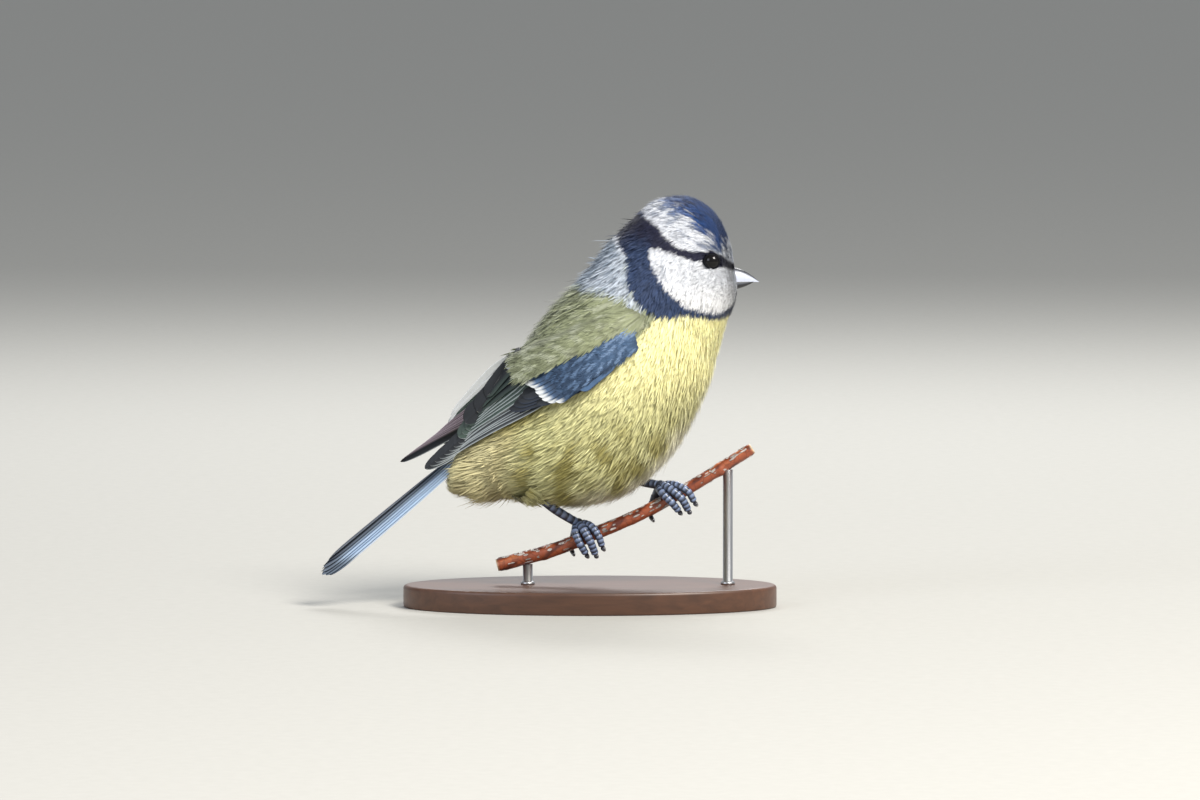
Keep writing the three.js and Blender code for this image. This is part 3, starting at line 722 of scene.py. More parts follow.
# %% The coat
WING_COVER = [(9.5, 59.5), (4.0, 62.0), (-6.0, 60.5), (-14.0, 55.0), (-21.0, 47.5), (-27.0, 41.5),
              (-24.0, 41.0), (-14.0, 47.0), (-4.0, 52.5), (5.0, 56.0)]
EYE_ROOM = {"root": 1.8, "strand": 1.75}  # how far feathers keep from the middle of the eye
STRANDS = 9
length = grown(LENGTH, roots_t) * draw.uniform(0.85, 1.15, len(roots_t))
speed = np.linalg.norm(body(roots_t + 1e-3, roots_a) - body(roots_t, roots_a), axis=-1) / 1e-3
tip_t = roots_t + length / speed
at_root, at_tip = body(roots_t, roots_a), body(tip_t, roots_a)
keep = clear_of_eye(at_root, EYE_ROOM["root"]) & clear_of_eye(at_tip, EYE_ROOM["strand"])
keep &= clear_of_eye((at_root + at_tip) / 2, EYE_ROOM["strand"])
keep &= to_outline(at_root[:, 0], at_root[:, 2], WING_COVER) < -0.5
keep &= tip_t < LAST + 0.4
tracts = tract_of(roots_t, roots_a)
for tract in np.unique(tracts):
    these = keep & (tracts == tract)
    t, a = roots_t[these], roots_a[these]
    spread = np.interp(t, [3, 5, 6, 8, 10, 14], [0.05, 0.07, 0.12, 0.06, 0.05, 0.07])
    value = 1 + 0.08 * ripple(body(t, a), 1.4, 11) + draw.normal(0, spread)
    made = fans(body, t, a, draw.normal(0, 0.12, len(t)), length[these], grown(WIDTH, t),
                grown(DEPTH, t), STRANDS, markings, value)
    points, quads, tips, tint, local = made
    fan_map = patches(local, t / LAST, a / (2 * np.pi) + 0.5)
    make_piece(tract, points, [quads, tips], COAT, tint, fan_map)

# %% [markdown]
# The loosest feathers leave the body's surface. At the nape single ones stand up. Round the vent,
# long plumes run on straight over the root of the tail. They are fans on a surface of their own: the
# body's, run on straight behind the vent.

# %% Wisps and plumes
VENT = 14.2
WISPS, PLUMES, TROUSERS = 170, 420, 150


def behind(t, a):
    """The body's surface, run on straight and a little narrower behind the vent."""
    past = np.maximum(t - VENT, 0)
    ring = body(np.minimum(t, VENT), a)
    middle, _up, _half = section(np.full(np.shape(t), VENT))
    core = np.stack([middle[..., 0], 0 * past, middle[..., 1]], -1)
    run = past[..., None] * [-3.4, 0, -1.2]
    return core + (ring - core) * (1 - 0.1 * past)[..., None] + run


t, a = draw.uniform(5.2, 9.5, WISPS), draw.normal(0, 0.55, WISPS)
made = fans(body, t, a, draw.normal(0, 0.25, WISPS), draw.uniform(3.4, 5.4, WISPS), 1.3, 1.3, 5,
            markings, 1 + draw.normal(0, 0.08, WISPS), loose=0.8)
points, quads, tips, tint, local = made
make_piece("coat_nape_wisps", points, [quads, tips], COAT, tint,
           patches(local, t / LAST, a / (2 * np.pi) + 0.5))
t = draw.uniform(12.4, 15.1, PLUMES)
a = draw.choice([-1, 1], PLUMES) * draw.uniform(1.35, np.pi, PLUMES)
made = fans(behind, t, a, draw.normal(0, 0.2, PLUMES), draw.uniform(5.0, 8.5, PLUMES), 2.4, 1.6, STRANDS,
            markings, 1 + draw.normal(0, 0.1, PLUMES), loose=0.5)
points, quads, tips, tint, local = made
make_piece("coat_vent_plumes", points, [quads, tips], COAT, tint,
           patches(local, t / LAST, a / (2 * np.pi) + 0.5))

# %% [markdown]
# Each leg comes out of short downy feathers, its trousers. These are fans too, on a cone round the
# leg that is wide in the belly and narrow at the bare shank. They are a little darker than the belly
# because they hang in its shade.

# %% Trousers
HEELS = {"right": np.array([-12.4, -6.5, 26.2]), "left": np.array([8.2, 5.6, 29.2])}
ANKLES = {"right": np.array([-2.6, 0, 18.9]), "left": np.array([16.0, 0, 27.6])}
TROUSERS_SHADE = 0.8


def cone_round(heel, ankle):
    """A cone round the line from heel to ankle as a surface: p mm along it, q round it."""
    axis = unit(ankle - heel)
    side_way = unit(np.cross(axis, [0.3, 1.0, 0.2]))
    other = np.cross(axis, side_way)

    def cone(p, q):
        radius = np.interp(p, [-4, 0, 3, 6], [4.6, 3.0, 1.7, 1.2])
        ring = side_way * np.cos(q)[..., None] + other * np.sin(q)[..., None]
        return heel + axis * p[..., None] + ring * radius[..., None]

    return cone


for side_name in SIDES:
    p, q = draw.uniform(-3.8, -0.2, TROUSERS), draw.uniform(-np.pi, np.pi, TROUSERS)
    made = fans(cone_round(HEELS[side_name], ANKLES[side_name]), p, q, draw.normal(0, 0.2, TROUSERS),
                draw.uniform(2.4, 4.2, TROUSERS), 1.7, 0.8, STRANDS,
                lambda place: markings(place) * TROUSERS_SHADE, 1 + draw.normal(0, 0.12, TROUSERS),
                loose=0.5)
    points, quads, tips, tint, local = made
    make_piece("coat_trousers_" + side_name, points, [quads, tips], COAT, tint,
               patches(local, 0.7 + 0.02 * p, 0.5 + q / 20))

# %% [markdown]
# A folded wing lies on the body's side and is kept off the middle plane towards its tip. That bed is
# a surface too: x and z go in, a point on the side comes out. Every wing feather is laid over it at
# its own height, so the tiers lie over one another and over the coat.

# %% The bed of a folded wing
FOLD = {
    "right": {"lift": 0.0, "tip_out": 4.6},
    "left": {"lift": math.radians(-1.2), "tip_out": 7.4},
}
WRIST = np.array([8.0, 60.0])


def wing_bed(side_name):
    """The bed of one wing as a surface of x and z."""
    fold, side = FOLD[side_name], SIDES[side_name]
    c, s = math.cos(fold["lift"]), math.sin(fold["lift"])

    def bed(x, z):
        dx, dz = x - WRIST[0], z - WRIST[1]
        x, z = WRIST[0] + dx * c + dz * s, WRIST[1] - dx * s + dz * c
        out = on_side(x, z)
        # a smooth maximum: the body's side, or tip_out where the body is slimmer than that
        y = 0.5 * (out + fold["tip_out"] + np.hypot(out - fold["tip_out"], 3))
        return np.stack([x, side * y, z], -1)

    return bed


def wing_depth(x):
    """A folded wing thins out towards its bend, where it sinks into the breast."""
    return 1 - 0.7 * ease(1, 13, x)


BEDS = {name: wing_bed(name) for name in SIDES}
wing_tip = BEDS["right"](np.array(-35.0), np.array(33.0))
print("the right wing's bed near its tip lies at y in mm:", round(float(wing_tip[1]), 1))

# %% [markdown]
# A flight feather is a vane: a shaft with a web on either side, the outer web narrower than the
# inner. Here the shaft runs down the middle, since the next feather covers most of the inner web.
# Each vane is a thin closed sheet, a fine grid with a ridge along the shaft, and its own outline: a
# narrow root, straight edges and a round tip. It could be cut from a flat sheet and bent, but as a
# grid it can be laid straight on the wing's bed, and it keeps its own colours and map.

# %% Shape of a vane
ACROSS = np.array([-1, -0.95, -0.86, -0.62, -0.34, -0.1, -0.03, 0.03, 0.1, 0.4, 0.7, 0.9, 1.0])
VANE_ROWS = 26
VANE_THICK = 0.08


def vane_width(s, blunt):
    """Half width along a feather, in shares of the widest, with a round or a blunt tip."""
    root = 0.45 + 0.55 * ease(0, 0.35, s)
    tip = np.sqrt(np.maximum(1e-4, 1 - np.clip((s - blunt) / (1 - blunt), 0, 1) ** 2.2))
    return root * tip


def vane(place, paint, blunt=0.8, ragged=0.006):
    """One vane. place(s, o, depth) gives points, paint(s, o) the colour; s runs root to tip."""
    s = np.sin(np.linspace(0, 0.5 * np.pi, VANE_ROWS)) ** 1.1
    s_grid, o_grid = np.meshgrid(s, ACROSS, indexing="ij")
    notch = 1 + draw.normal(0, ragged, s_grid.shape) * (np.abs(o_grid) > 0.8)
    ridge = 0.07 * np.exp(-((o_grid / 0.07) ** 2)) * (1 - 0.6 * s_grid)
    top = place(s_grid, o_grid * notch, ridge)
    low = place(s_grid, o_grid * notch * 0.97, -VANE_THICK)
    columns = len(ACROSS)
    count = VANE_ROWS * columns
    points = np.vstack([top.reshape(-1, 3), low.reshape(-1, 3)])
    upper = grid_faces(VANE_ROWS, columns)
    lower = upper[:, ::-1] + count
    rim = rim_of(VANE_ROWS, columns)
    nexts = np.roll(rim, -1)
    edge = np.stack([rim, rim + count, nexts + count, nexts], -1)
    tint = paint(s_grid, o_grid).reshape(-1, 3)
    flat = np.stack([s_grid.ravel(), (o_grid.ravel() + 1) / 2], -1)
    # painted shade: the lower side of the vane, which lies on the feather below, is 15% darker
    return points, [upper, lower, edge], np.vstack([tint, tint * 0.85]), np.vstack([flat, flat])


def vane_piece(name, vanes, material, nodes, mirrored=False):
    """Joins vanes to one piece, each in a strip of its own on the map."""
    points, faces, tints, maps = [], [], [], []
    start = 0
    for i, (p, f, tint, flat) in enumerate(vanes):
        points.append(p)
        faces += [(g[:, ::-1] if mirrored else g) + start for g in f]
        tints.append(tint)
        strip = np.stack([flat[:, 0] * 0.96 + 0.02, (i + 0.06 + 0.88 * flat[:, 1]) / len(vanes)], -1)
        maps.append(strip)
        start += len(p)
    return make_piece(name, np.vstack(points), faces, material, np.vstack(tints),
                      np.vstack(maps), nodes)


print("faces on one side of a vane:", len(grid_faces(VANE_ROWS, len(ACROSS))))

# %% [markdown]
# The vane is smoother than a small feather, as its barbs are hooked together: half gloss, with fine
# dark and light in it. The barbs are 0.12 mm apart, too fine to show. What shows instead is where
# they bunch: a slanting wave 2.83 mm long, bent by noise, whose bump lets the light ripple along.
# A wave texture has 20 radians to its unit, so its scale also needs a factor.

# %% Flight feather
WAVE = math.tau / 20


def flight_feather():
    material, tree, output = new_material("keratin_flight_feather")
    _noise, colour = tinted(tree, 0.5, 0.86, 1.12)
    place = add(tree, "ShaderNodeTexCoord")
    slanted = add(tree, "ShaderNodeMapping", [("Rotation", (0, math.radians(-62), 0))],
                  [("Vector", place, "Object")])
    wave = add(tree, "ShaderNodeTexWave",
               [("Scale", per_mm(2.83) * WAVE), ("Distortion", 2.0), ("Detail", 2.0)],
               [("Vector", slanted, "Vector")], bands_direction="X")
    bump = add(tree, "ShaderNodeBump", [("Strength", 0.35), ("Distance", 0.08 * MM)],
               [("Height", wave, "Fac")])
    shader = add(tree, "ShaderNodeBsdfPrincipled",
                 [("Roughness", 0.5), ("IOR", 1.55), ("Specular IOR Level", 0.35),
                  ("Sheen Weight", 0.1), ("Sheen Roughness", 0.4)],
                 [("Base Color", colour, "Result"), ("Normal", bump, "Normal")])
    close_material(tree, output, shader)
    return material


VANE = flight_feather()
print("material:", VANE.name)

# %% [markdown]
# The folded wing, tier by tier, from the long primaries below to the coverts above. Each tier is a
# row of feathers between its lowest and its uppermost one. A tier says where these two are rooted
# and end, how wide a feather is, how high it lies, and how it is painted: its web, its fringe, and
# how much of its tip is white. The far wing is folded less tightly, so its tips show over the back.

# %% Tiers of a folded wing
TIERS = {
    "primaries": dict(count=9, roots=((-3.5, 51.2), (-11.0, 54.0)), tips=((-37.0, 31.6), (-28.5, 38.4)),
                      width=3.5, lifts=(0.7, 1.3), bow=0.9, web="wing_dark", fringe="wing_edge",
                      fringe_wide=0.17, white=0.0),
    "secondaries": dict(count=6, roots=((-8.5, 54.4), (-13.5, 56.2)), tips=((-29.6, 38.9), (-25.4, 43.4)),
                        width=4.2, lifts=(1.45, 1.8), bow=0.0, web="wing_green", fringe="wing_edge",
                        fringe_wide=0.1, white=0.0),
    "tertials": dict(count=3, roots=((-10.8, 56.3), (-14.2, 57.6)), tips=((-28.0, 42.0), (-22.8, 47.2)),
                     width=5.0, lifts=(2.0, 2.5), bow=0.4, web="wing_dark", fringe="wing_green",
                     fringe_wide=0.4, white=0.0),
    "primary_coverts": dict(count=4, roots=((-1.5, 51.4), (-5.0, 53.4)),
                            tips=((-17.0, 45.2), (-14.0, 48.0)),
                            width=2.8, lifts=(1.5, 1.8), bow=-0.3, web="wing_dark", fringe="covert_dark",
                            fringe_wide=0.2, white=0.0),
    "alula": dict(count=2, roots=((1.0, 52.2), (-0.4, 53.2)), tips=((-11.0, 46.8), (-8.6, 48.6)),
                  width=2.3, lifts=(1.9, 2.1), bow=-0.2, web="wing_dark", fringe="covert_dark",
                  fringe_wide=0.2, white=0.0),
    "greater_coverts": dict(count=13, roots=((0.8, 53.6), (-6.8, 58.6)), tips=((-7.6, 46.9), (-17.0, 53.4)),
                            width=2.6, lifts=(2.2, 2.6), bow=0.0, web="covert", fringe="covert_dark",
                            fringe_wide=0.16, white=0.14, uneven=0.3),
    "median_coverts": dict(count=8, roots=((6.5, 57.4), (0.5, 61.0)), tips=((-1.8, 50.2), (-10.4, 56.2)),
                           width=3.2, lifts=(2.7, 3.0), bow=0.0, web="covert", fringe="covert_dark",
                           fringe_wide=0.12, white=0.0),
}
FAR = {
    # the far primaries' pink rim along the upper edge is a painted highlight
    "primaries": dict(tips=((-43.4, 33.0), (-36.0, 37.6)), width=1.9, rim=0.35, rim_colour="pink_painted_highlight"),
    "secondaries": dict(tips=((-34.5, 37.4), (-31.0, 40.6))),
    "tertials": dict(roots=((-13.0, 54.5), (-16.4, 57.4)), tips=((-33.0, 38.8), (-31.4, 41.4)), width=4.2,
                     rim=0.9),
}
print("vanes in a wing:", sum(tier["count"] for tier in TIERS.values()))

# %% [markdown]
# Paint for a vane is a function of the place on it: s from root to tip and o across, -1 at the edge
# of the outer web. The outer web carries the fringe, the greater coverts end white, and the shaft is
# a dark line.

# %% Paint of a wing's vane
def wing_paint(tier):
    """Colours of a vane: its web, the fringe of the outer web, the white tip, the dark shaft."""
    web, fringe = PLUMAGE[tier["web"]], PLUMAGE[tier["fringe"]]
    wide, white = tier["fringe_wide"], tier["white"]
    rim, rim_colour = tier.get("rim", 0), PLUMAGE[tier.get("rim_colour", "bar")]

    def paint(s, o):
        colour = np.broadcast_to(web, s.shape + (3,)) * (1.1 - 0.3 * ease(-0.2, 0.8, o))[..., None]
        colour = colour * (0.85 + 0.3 * np.abs(np.sin(s * 9 + 2 * wide)))[..., None]
        colour = mixed(colour, fringe, 0.85 * ease(-1 + wide, -1 + 0.3 * wide, o) * ease(0.1, 0.3, s))
        if white:
            frayed = s + 0.04 * o + 0.03 * np.sin(o * 17)
            colour = mixed(colour, PLUMAGE["bar"], ease(1 - white * 1.5, 1 - white * 0.7, frayed))
        # the rim: a white edge on the far tertials, and on the far primaries a pink painted highlight
        if rim:
            colour = mixed(colour, rim_colour, ease(1 - rim, 1.1 - rim, o) * ease(1, 0.9, s))
        return colour * (1 - 0.45 * np.exp(-((o / 0.06) ** 2)))[..., None]

    return paint


middle_of_web = wing_paint(TIERS["primaries"])(np.array(0.5), np.array(0.4))
print("linear colour of a primary's inner web:", middle_of_web.round(3))

# %% [markdown]
# Each vane lies on the bed at its tier's height. Its lower edge stands a little higher than its upper
# edge, which dips under the next feather, and its middle is arched. So the vanes overlap like tiles.
# Real ones also bend to lie on one another. These are stiff, and where many crowd together some cut
# into their neighbours, which doesn't show at the size of the picture.

# %% The folded wings
TILT, ARCH = 0.24, 0.12  # mm that a vane's edge dips, and that its middle stands up
LEAST_HEIGHT = 0.35  # mm over the bed


def wing_vane(bed, side, tier, s_row):
    """Where one vane of a tier lies: s_row is 0 for its lowest, 1 for its uppermost."""

    def between(pair):
        return np.array(pair[0]) + (np.array(pair[1]) - pair[0]) * s_row

    root, tip = between(tier["roots"]), between(tier["tips"])
    run = tip - root
    across = np.array([-run[1], run[0]]) / np.linalg.norm(run)
    across *= 1 if across[1] > 0 else -1
    lift = tier["lifts"][0] + (tier["lifts"][1] - tier["lifts"][0]) * s_row
    lift += draw.normal(0, 0.03)
    curl = draw.normal(0, 0.15)
    run = run * (1 + draw.normal(0, 1) * tier.get("uneven", 0) / np.linalg.norm(run))

    def place(s, o, depth):
        half = tier["width"] / 2 * vane_width(s, 0.82)
        bow = (tier["bow"] + curl * s) * np.sin(np.pi * s)
        flat = root + run * s[..., None] + across * (bow + o * half)[..., None]
        height = lift * wing_depth(flat[..., 0]) * (0.75 + 0.25 * s) - TILT * o + ARCH * (1 - o * o)
        return lifted(bed, flat[..., 0], flat[..., 1], -side * (np.maximum(height, LEAST_HEIGHT) + depth))

    return place


for side_name, bed in BEDS.items():
    vanes = []
    for tier_name, tier in TIERS.items():
        if side_name == "left":
            tier = {**tier, **FAR.get(tier_name, {})}
        for i in range(tier["count"]):
            place = wing_vane(bed, SIDES[side_name], tier, i / (tier["count"] - 1))
            vanes.append(vane(place, wing_paint(tier)))
    vane_piece("wing_feathers_" + side_name, vanes, VANE, ["wing_" + side_name],
               mirrored=side_name == "left")

# %% [markdown]
# Two soft groups meet on the wing. The small coverts at its bend are slate blue, and the olive
# feathers of the shoulder fall from the back over the wing's upper edge. Where the shoulder's
# feathers end is a line in the side view, the hem, and both colours are measured from it.

# %% Colours of coverts and shoulder
HEM = np.array([[10.1, 65.0], [-15.5, 52.8]])  # the lower edge of the shoulder's feathers
HEM_UP = np.array([-0.43, 0.90])


def above_hem(x, z):
    """Height over the hem in mm."""
    return (x - HEM[0, 0]) * HEM_UP[0] + (z - HEM[0, 1]) * HEM_UP[1]


def covert_colour(p):
    """Slate blue, darker to the rear and below, pale at the bend."""
    x, z = p[..., 0], p[..., 2]
    streak = ripple(np.stack([(x + z) * 0.3, x - z, p[..., 1]], -1), 1.6, 21)
    colour = all_over("covert", p)
    rear = np.maximum(ease(6, -6, x), ease(-3.5, -7.5, above_hem(x, z)))
    colour = mixed(colour, PLUMAGE["covert_dark"], 0.7 * rear * ease(-0.9, 0.4, streak))
    colour = mixed(colour, PLUMAGE["covert_edge"], 0.45 * ease(0.1, 0.9, -streak) * ease(-8, 2, x))
    return mixed(colour, PLUMAGE["covert_edge"], 0.8 * ease(61.0, 63.5, z) * ease(3, 8, x))


def shoulder_colour(p):
    """Olive like the back, with dark streaks, and darker to the rear as painted shade."""
    rough = ripple(p * [1, 1, 1.5], 4.0, 22)
    along, across = p[..., 0] - p[..., 2], p[..., 0] + p[..., 2]
    streak = ripple(np.stack([across * 0.25, along, p[..., 1]], -1), 1.8, 23)
    colour = mixed(all_over("mantle", p), PLUMAGE["mantle_grey"], 0.6 * ease(0.0, 0.9, rough))
    colour = mixed(colour, PLUMAGE["mantle"] * 0.45, 0.5 * ease(0.1, 1.0, streak))
    # painted shade: darker to the rear, along the shoulder's lower edge
    return mixed(colour, PLUMAGE["mantle"] * 0.4, 0.6 * ease(-3, -13, p[..., 0]) * ease(-0.6, 0.6, -rough))


print("height of the wing's bend over the hem in mm:", round(float(above_hem(10.8, 59.8)), 1))

# %% [markdown]
# Both are fans again, spread over a four-cornered patch of the wing's bed. The shoulder's lift grows
# from the back down to the wing, so its feathers drape over the wing's upper edge. Seen from the
# side they point down and back, 148 degrees from the beak's way.

# %% Lesser coverts and shoulder feathers
LESSER = [(10.8, 59.8), (-3.6, 49.6), (-8.6, 57.0), (10.4, 65.2)]
SHOULDER = [(12.2, 66.6), (-11.8, 52.4), (-14.8, 58.0), (5.5, 71.0)]
LIE = math.radians(-148)


def scattered(corners, room):
    """Evenly spread places in a four-cornered patch; corners in x, z, in turn."""
    a, b, c, d = np.array(corners, float)
    e, f = c - a, d - b
    n = int(0.5 * abs(e[0] * f[1] - e[1] * f[0]) / room)
    u, v = ((0.5 + np.arange(n) * step) % 1 for step in EVEN_STEPS)
    low, high = a + (b - a) * u[:, None], d + (c - d) * u[:, None]
    return low + (high - low) * v[:, None]


def over_lesser(x, z):
    """How high over the bed the lesser coverts lie."""
    return 3.3 * wing_depth(x)


def over_shoulder(x, z):
    """How high over the bed the shoulder's feathers lie."""
    return (0.5 + 3.2 * ease(5.5, 1.5, above_hem(x, z))) * wing_depth(x)


for side_name, bed in BEDS.items():
    way = -SIDES[side_name]
    for label, patch, room, size, wide, height, colour_at in (
        ("lesser_coverts_", LESSER, 0.3, 3.2, 2.0, over_lesser, covert_colour),
        ("shoulder_feathers_", SHOULDER, 0.32, 6.0, 2.4, over_shoulder, shoulder_colour),
    ):
        root = scattered(patch, room)
        n = len(root)

        def raised(x, z, bed=bed, way=way, height=height):
            return lifted(bed, x, z, way * height(x, z))

        swing = LIE + draw.normal(0, 0.12, n)
        value = 1 + draw.normal(0, 0.07, n)
        long = size * draw.uniform(0.85, 1.15, n)
        made = fans(raised, root[:, 0], root[:, 1], swing, long, wide, 0.7, STRANDS, colour_at,
                    value, flip=way, loose=0.12)
        points, quads, tips, tint, local = made
        at = (root - [-20, 40]) / [60, 40]
        make_piece(label + side_name, points, [quads, tips], COAT, tint,
                   patches(local, at[:, 0], at[:, 1]))

# %% [markdown]
# Twelve feathers make the tail: the middle pair lies on top, each further pair a step lower and a
# little further out. All slope away from the middle like a roof. Their outer webs are pale blue, the
# inner webs dark, the tips darker still, and the outer pair has a white edge. The two middle pairs
# are painted darker besides, as shade on the far side of the roof.

# %% Line and paint of the tail
TAIL = {"width": 5.0, "pairs": 6, "roof": math.radians(15), "twist": math.radians(-5), "step": 0.34}
TAIL_ROOT = np.array([-27.6, 0, 36.6])
TAIL_TIP = np.array([-61.2, 0, 8.6])


def turned(v, axis, angle):
    """v turned about a unit axis."""
    return v * math.cos(angle) + np.cross(axis, v) * math.sin(angle)


tail_along = unit(TAIL_TIP - TAIL_ROOT)
tail_up = unit(np.cross([0, 1, 0], tail_along))
tail_flat = turned(np.array([0.0, 1, 0]), tail_along, TAIL["twist"])
tail_up = turned(tail_up, tail_along, TAIL["twist"])


def tail_paint(side, pair):
    """Colours of one tail feather, worn grey in bands."""

    def paint(s, o):
        outer = o * side
        worn = 0.5 + 0.5 * np.sin(s * 23 + pair * 2.1) * np.sin(s * 9 + side)
        colour = np.broadcast_to(PLUMAGE["tail_blue"], s.shape + (3,))
        colour = mixed(colour, PLUMAGE["tail_grey"], 0.2 * worn)
        colour = mixed(colour, PLUMAGE["tail_dark"], 0.9 * ease(0.0, -0.6, outer))
        # painted shade: the two middle pairs darker, for the shaded far side of the roof
        colour = mixed(colour, PLUMAGE["tail_dark"], 0.8 * max(0, 1 - pair / 2))
        colour = mixed(colour, PLUMAGE["tail_dark"], 0.75 * ease(0.82, 0.93, s + 0.02 * pair - 0.05))
        if pair == TAIL["pairs"] - 1:
            colour = mixed(colour, PLUMAGE["bar"], 0.7 * ease(0.7, 0.9, outer) * ease(0.9, 0.8, s))
        return colour * (1 - 0.4 * np.exp(-((o / 0.07) ** 2)))[..., None]

    return paint


reach = np.linalg.norm(TAIL_TIP - TAIL_ROOT)
print("tail length in mm:", round(float(reach), 1))

# %% [markdown]
# The vanes are the same as the wing's, laid on the tail's line instead of the bed. The lowest pair is
# made first, and the tips step back a little to both sides, so the closed tail ends almost square.

# %% Tail feathers
vanes = []
for pair in reversed(range(TAIL["pairs"])):
    for side in (-1, 1):
        notch = 1.2 if pair == 0 else 0
        long = reach - 0.64 * abs(pair - 3) - notch
        roof = TAIL["roof"] * (0.5 + pair / 10)
        sway = draw.normal(0, 0.12)

        def place(s, o, depth, pair=pair, side=side, long=long, roof=roof, sway=sway):
            half = TAIL["width"] / 2 * (0.6 + 0.4 * ease(0, 0.8, s)) * vane_width(s, 0.86)
            spread = side * (0.3 + pair * (0.36 + 0.22 * s)) + sway * s
            drop = -pair * TAIL["step"] - np.abs(spread) * 0.18 + (0.1 if side > 0 else 0)
            return (TAIL_ROOT + tail_along * (long * s)[..., None]
                    + tail_flat * (spread + o * half * math.cos(roof))[..., None]
                    + tail_up * (drop - side * o * half * math.sin(roof) + depth)[..., None])

        vanes.append(vane(place, tail_paint(side, pair)))
vane_piece("tail_feathers", vanes, VANE, ["tail"], mirrored=True)

# %% [markdown]
# Bill, lids, legs and claws are all keratin in one form or another, smooth and hard or leathery. One
# material serves them, with its own roughness, clear coat and shine for each: a polished bill gets a
# coat, bare lids get hardly any shine. Its grain is 0.6 mm.

# %% Horn
def horn(name, rough, coat, shine=0.5):
    material, tree, output = new_material(name)
    noise, colour = tinted(tree, 0.6, 0.85, 1.1)
    bump = add(tree, "ShaderNodeBump", [("Strength", 0.25), ("Distance", 0.05 * MM)],
               [("Height", noise, "Fac")])
    shader = add(tree, "ShaderNodeBsdfPrincipled",
                 [("Roughness", rough), ("IOR", 1.55), ("Specular IOR Level", shine),
                  ("Coat Weight", coat), ("Coat Roughness", 0.15)],
                 [("Base Color", colour, "Result"), ("Normal", bump, "Normal")])
    close_material(tree, output, shader)
    return material


BILL_HORN = horn("keratin_bill", 0.34, 0.3)
print("material:", BILL_HORN.name)

# %% [markdown]
# The bill is two halves, each a half-round loft that narrows to the tip. In the photo its side is
# pale and glossy, the ridge and the lower half are dark. The horn is dark with pale cutting edges, and
# the pale on the upper half's side is a painted highlight. The colour follows the height on the side,
# so the cutting edges stay pale.

# %% Bill
BILL = {
    "upper": dict(base=(31.2, 73.25), tip=(38.0, 73.4), height=3.3, width=2.0, sense=1),
    "lower": dict(base=(31.2, 72.9), tip=(36.9, 73.0), height=1.55, width=1.7, sense=-1),
}
bill_edge_and_highlight, bill_dark = linear("#BFC5D6"), linear("#15161D")
for half_name, half in BILL.items():
    steps, sides = 34, 25
    s, j = np.meshgrid(np.linspace(0, 1, steps), np.linspace(0, np.pi, sides), indexing="ij")
    swell = np.maximum(1 - s**1.9, 0.03)
    x = half["base"][0] + (half["tip"][0] - half["base"][0]) * s
    z = half["base"][1] + (half["tip"][1] - half["base"][1]) * s - half["sense"] * 0.25 * s**3
    tall = np.sin(j) ** 0.85
    y = np.cos(j) * half["width"] * np.maximum(1 - s**1.5, 0.03)
    top = z + half["sense"] * tall * half["height"] * swell
    arch = np.stack([x, y, top], -1)
    under = np.stack([x, y * 0.96, z + 0 * s], -1)
    points = np.vstack([arch.reshape(-1, 3), under.reshape(-1, 3)])
    upper = grid_faces(steps, sides)
    count = steps * sides
    lower = grid_faces(steps, sides, start=count)[:, ::-1]
    front = np.arange(sides - 1)
    ends = [np.stack([e + front, e + front + 1, e + count + front + 1, e + count + front], -1)
            for e in (0, count - sides)]
    if half["sense"] > 0:
        upper, lower = upper[:, ::-1], lower[:, ::-1]
        # pale cutting edge, and above it on the side a painted highlight
        pale = ease(0.93, 0.55, tall) * ease(0.02, 0.18, s)
    else:
        pale = 0.25 * ease(0.3, 0.05, tall)
    tint = mixed(np.broadcast_to(bill_dark, arch.shape), bill_edge_and_highlight, pale)
    # painted shade: the flat inner faces, where the two halves meet, are 20% darker
    tint = np.vstack([tint.reshape(-1, 3), tint.reshape(-1, 3) * 0.8])
    make_piece("bill_" + half_name + "_horn", points, [upper, lower, *ends], BILL_HORN,
               tint, nodes=["bill_" + half_name])

# %% [markdown]
# The eye of a small bird is nearly all dark iris under a wet, clear cornea. The iris is black-brown
# and doesn't shine by itself. A full clear coat, smooth as water, gives the one sharp highlight.

# %% The wet eye
def wet_eye():
    material, tree, output = new_material("wet_cornea_over_dark_iris")
    place = add(tree, "ShaderNodeTexCoord")
    noise = add(tree, "ShaderNodeTexNoise", [("Scale", per_mm(0.5))], [("Vector", place, "Object")])
    ramp = add(tree, "ShaderNodeMix", [("A", (*linear("#0D0908"), 1)), ("B", (*linear("#060505"), 1))],
               [("Factor", noise, "Fac")], data_type="RGBA")
    shader = add(tree, "ShaderNodeBsdfPrincipled",
                 [("Roughness", 0.3), ("Specular IOR Level", 0.05), ("Coat Weight", 1.0),
                  ("Coat Roughness", 0.01), ("Coat IOR", 1.34)],
                 [("Base Color", ramp, "Result")])
    close_material(tree, output, shader)
    return material


CORNEA = wet_eye()
print("material:", CORNEA.name)

# %% [markdown]
# The eyeball is a plain ball, since only its front shows. Round it is a ring of bare lid, a torus
# that is pressed oval and set with tiny beads, 30 of them, dark enough to melt into the eye stripe.

# %% Eyes and lids
LID_SKIN = horn("bare_lid_skin", 0.7, 0.0, shine=0.12)
LID = {"radius": 1.58, "thick": 0.22, "bead": 0.06, "beads": 30, "out": 1.2}
lid_dark = linear("#0A0B10")


def ring_faces(rows, columns):
    """Quads of a grid closed both ways, as on a torus."""
    i = np.arange(rows)[:, None] * columns
    n = (np.arange(rows)[:, None] + 1) % rows * columns
    j = np.arange(columns)[None, :]
    k = (j + 1) % columns
    return np.stack([i + j, i + k, n + k, n + j], -1).reshape(-1, 4)


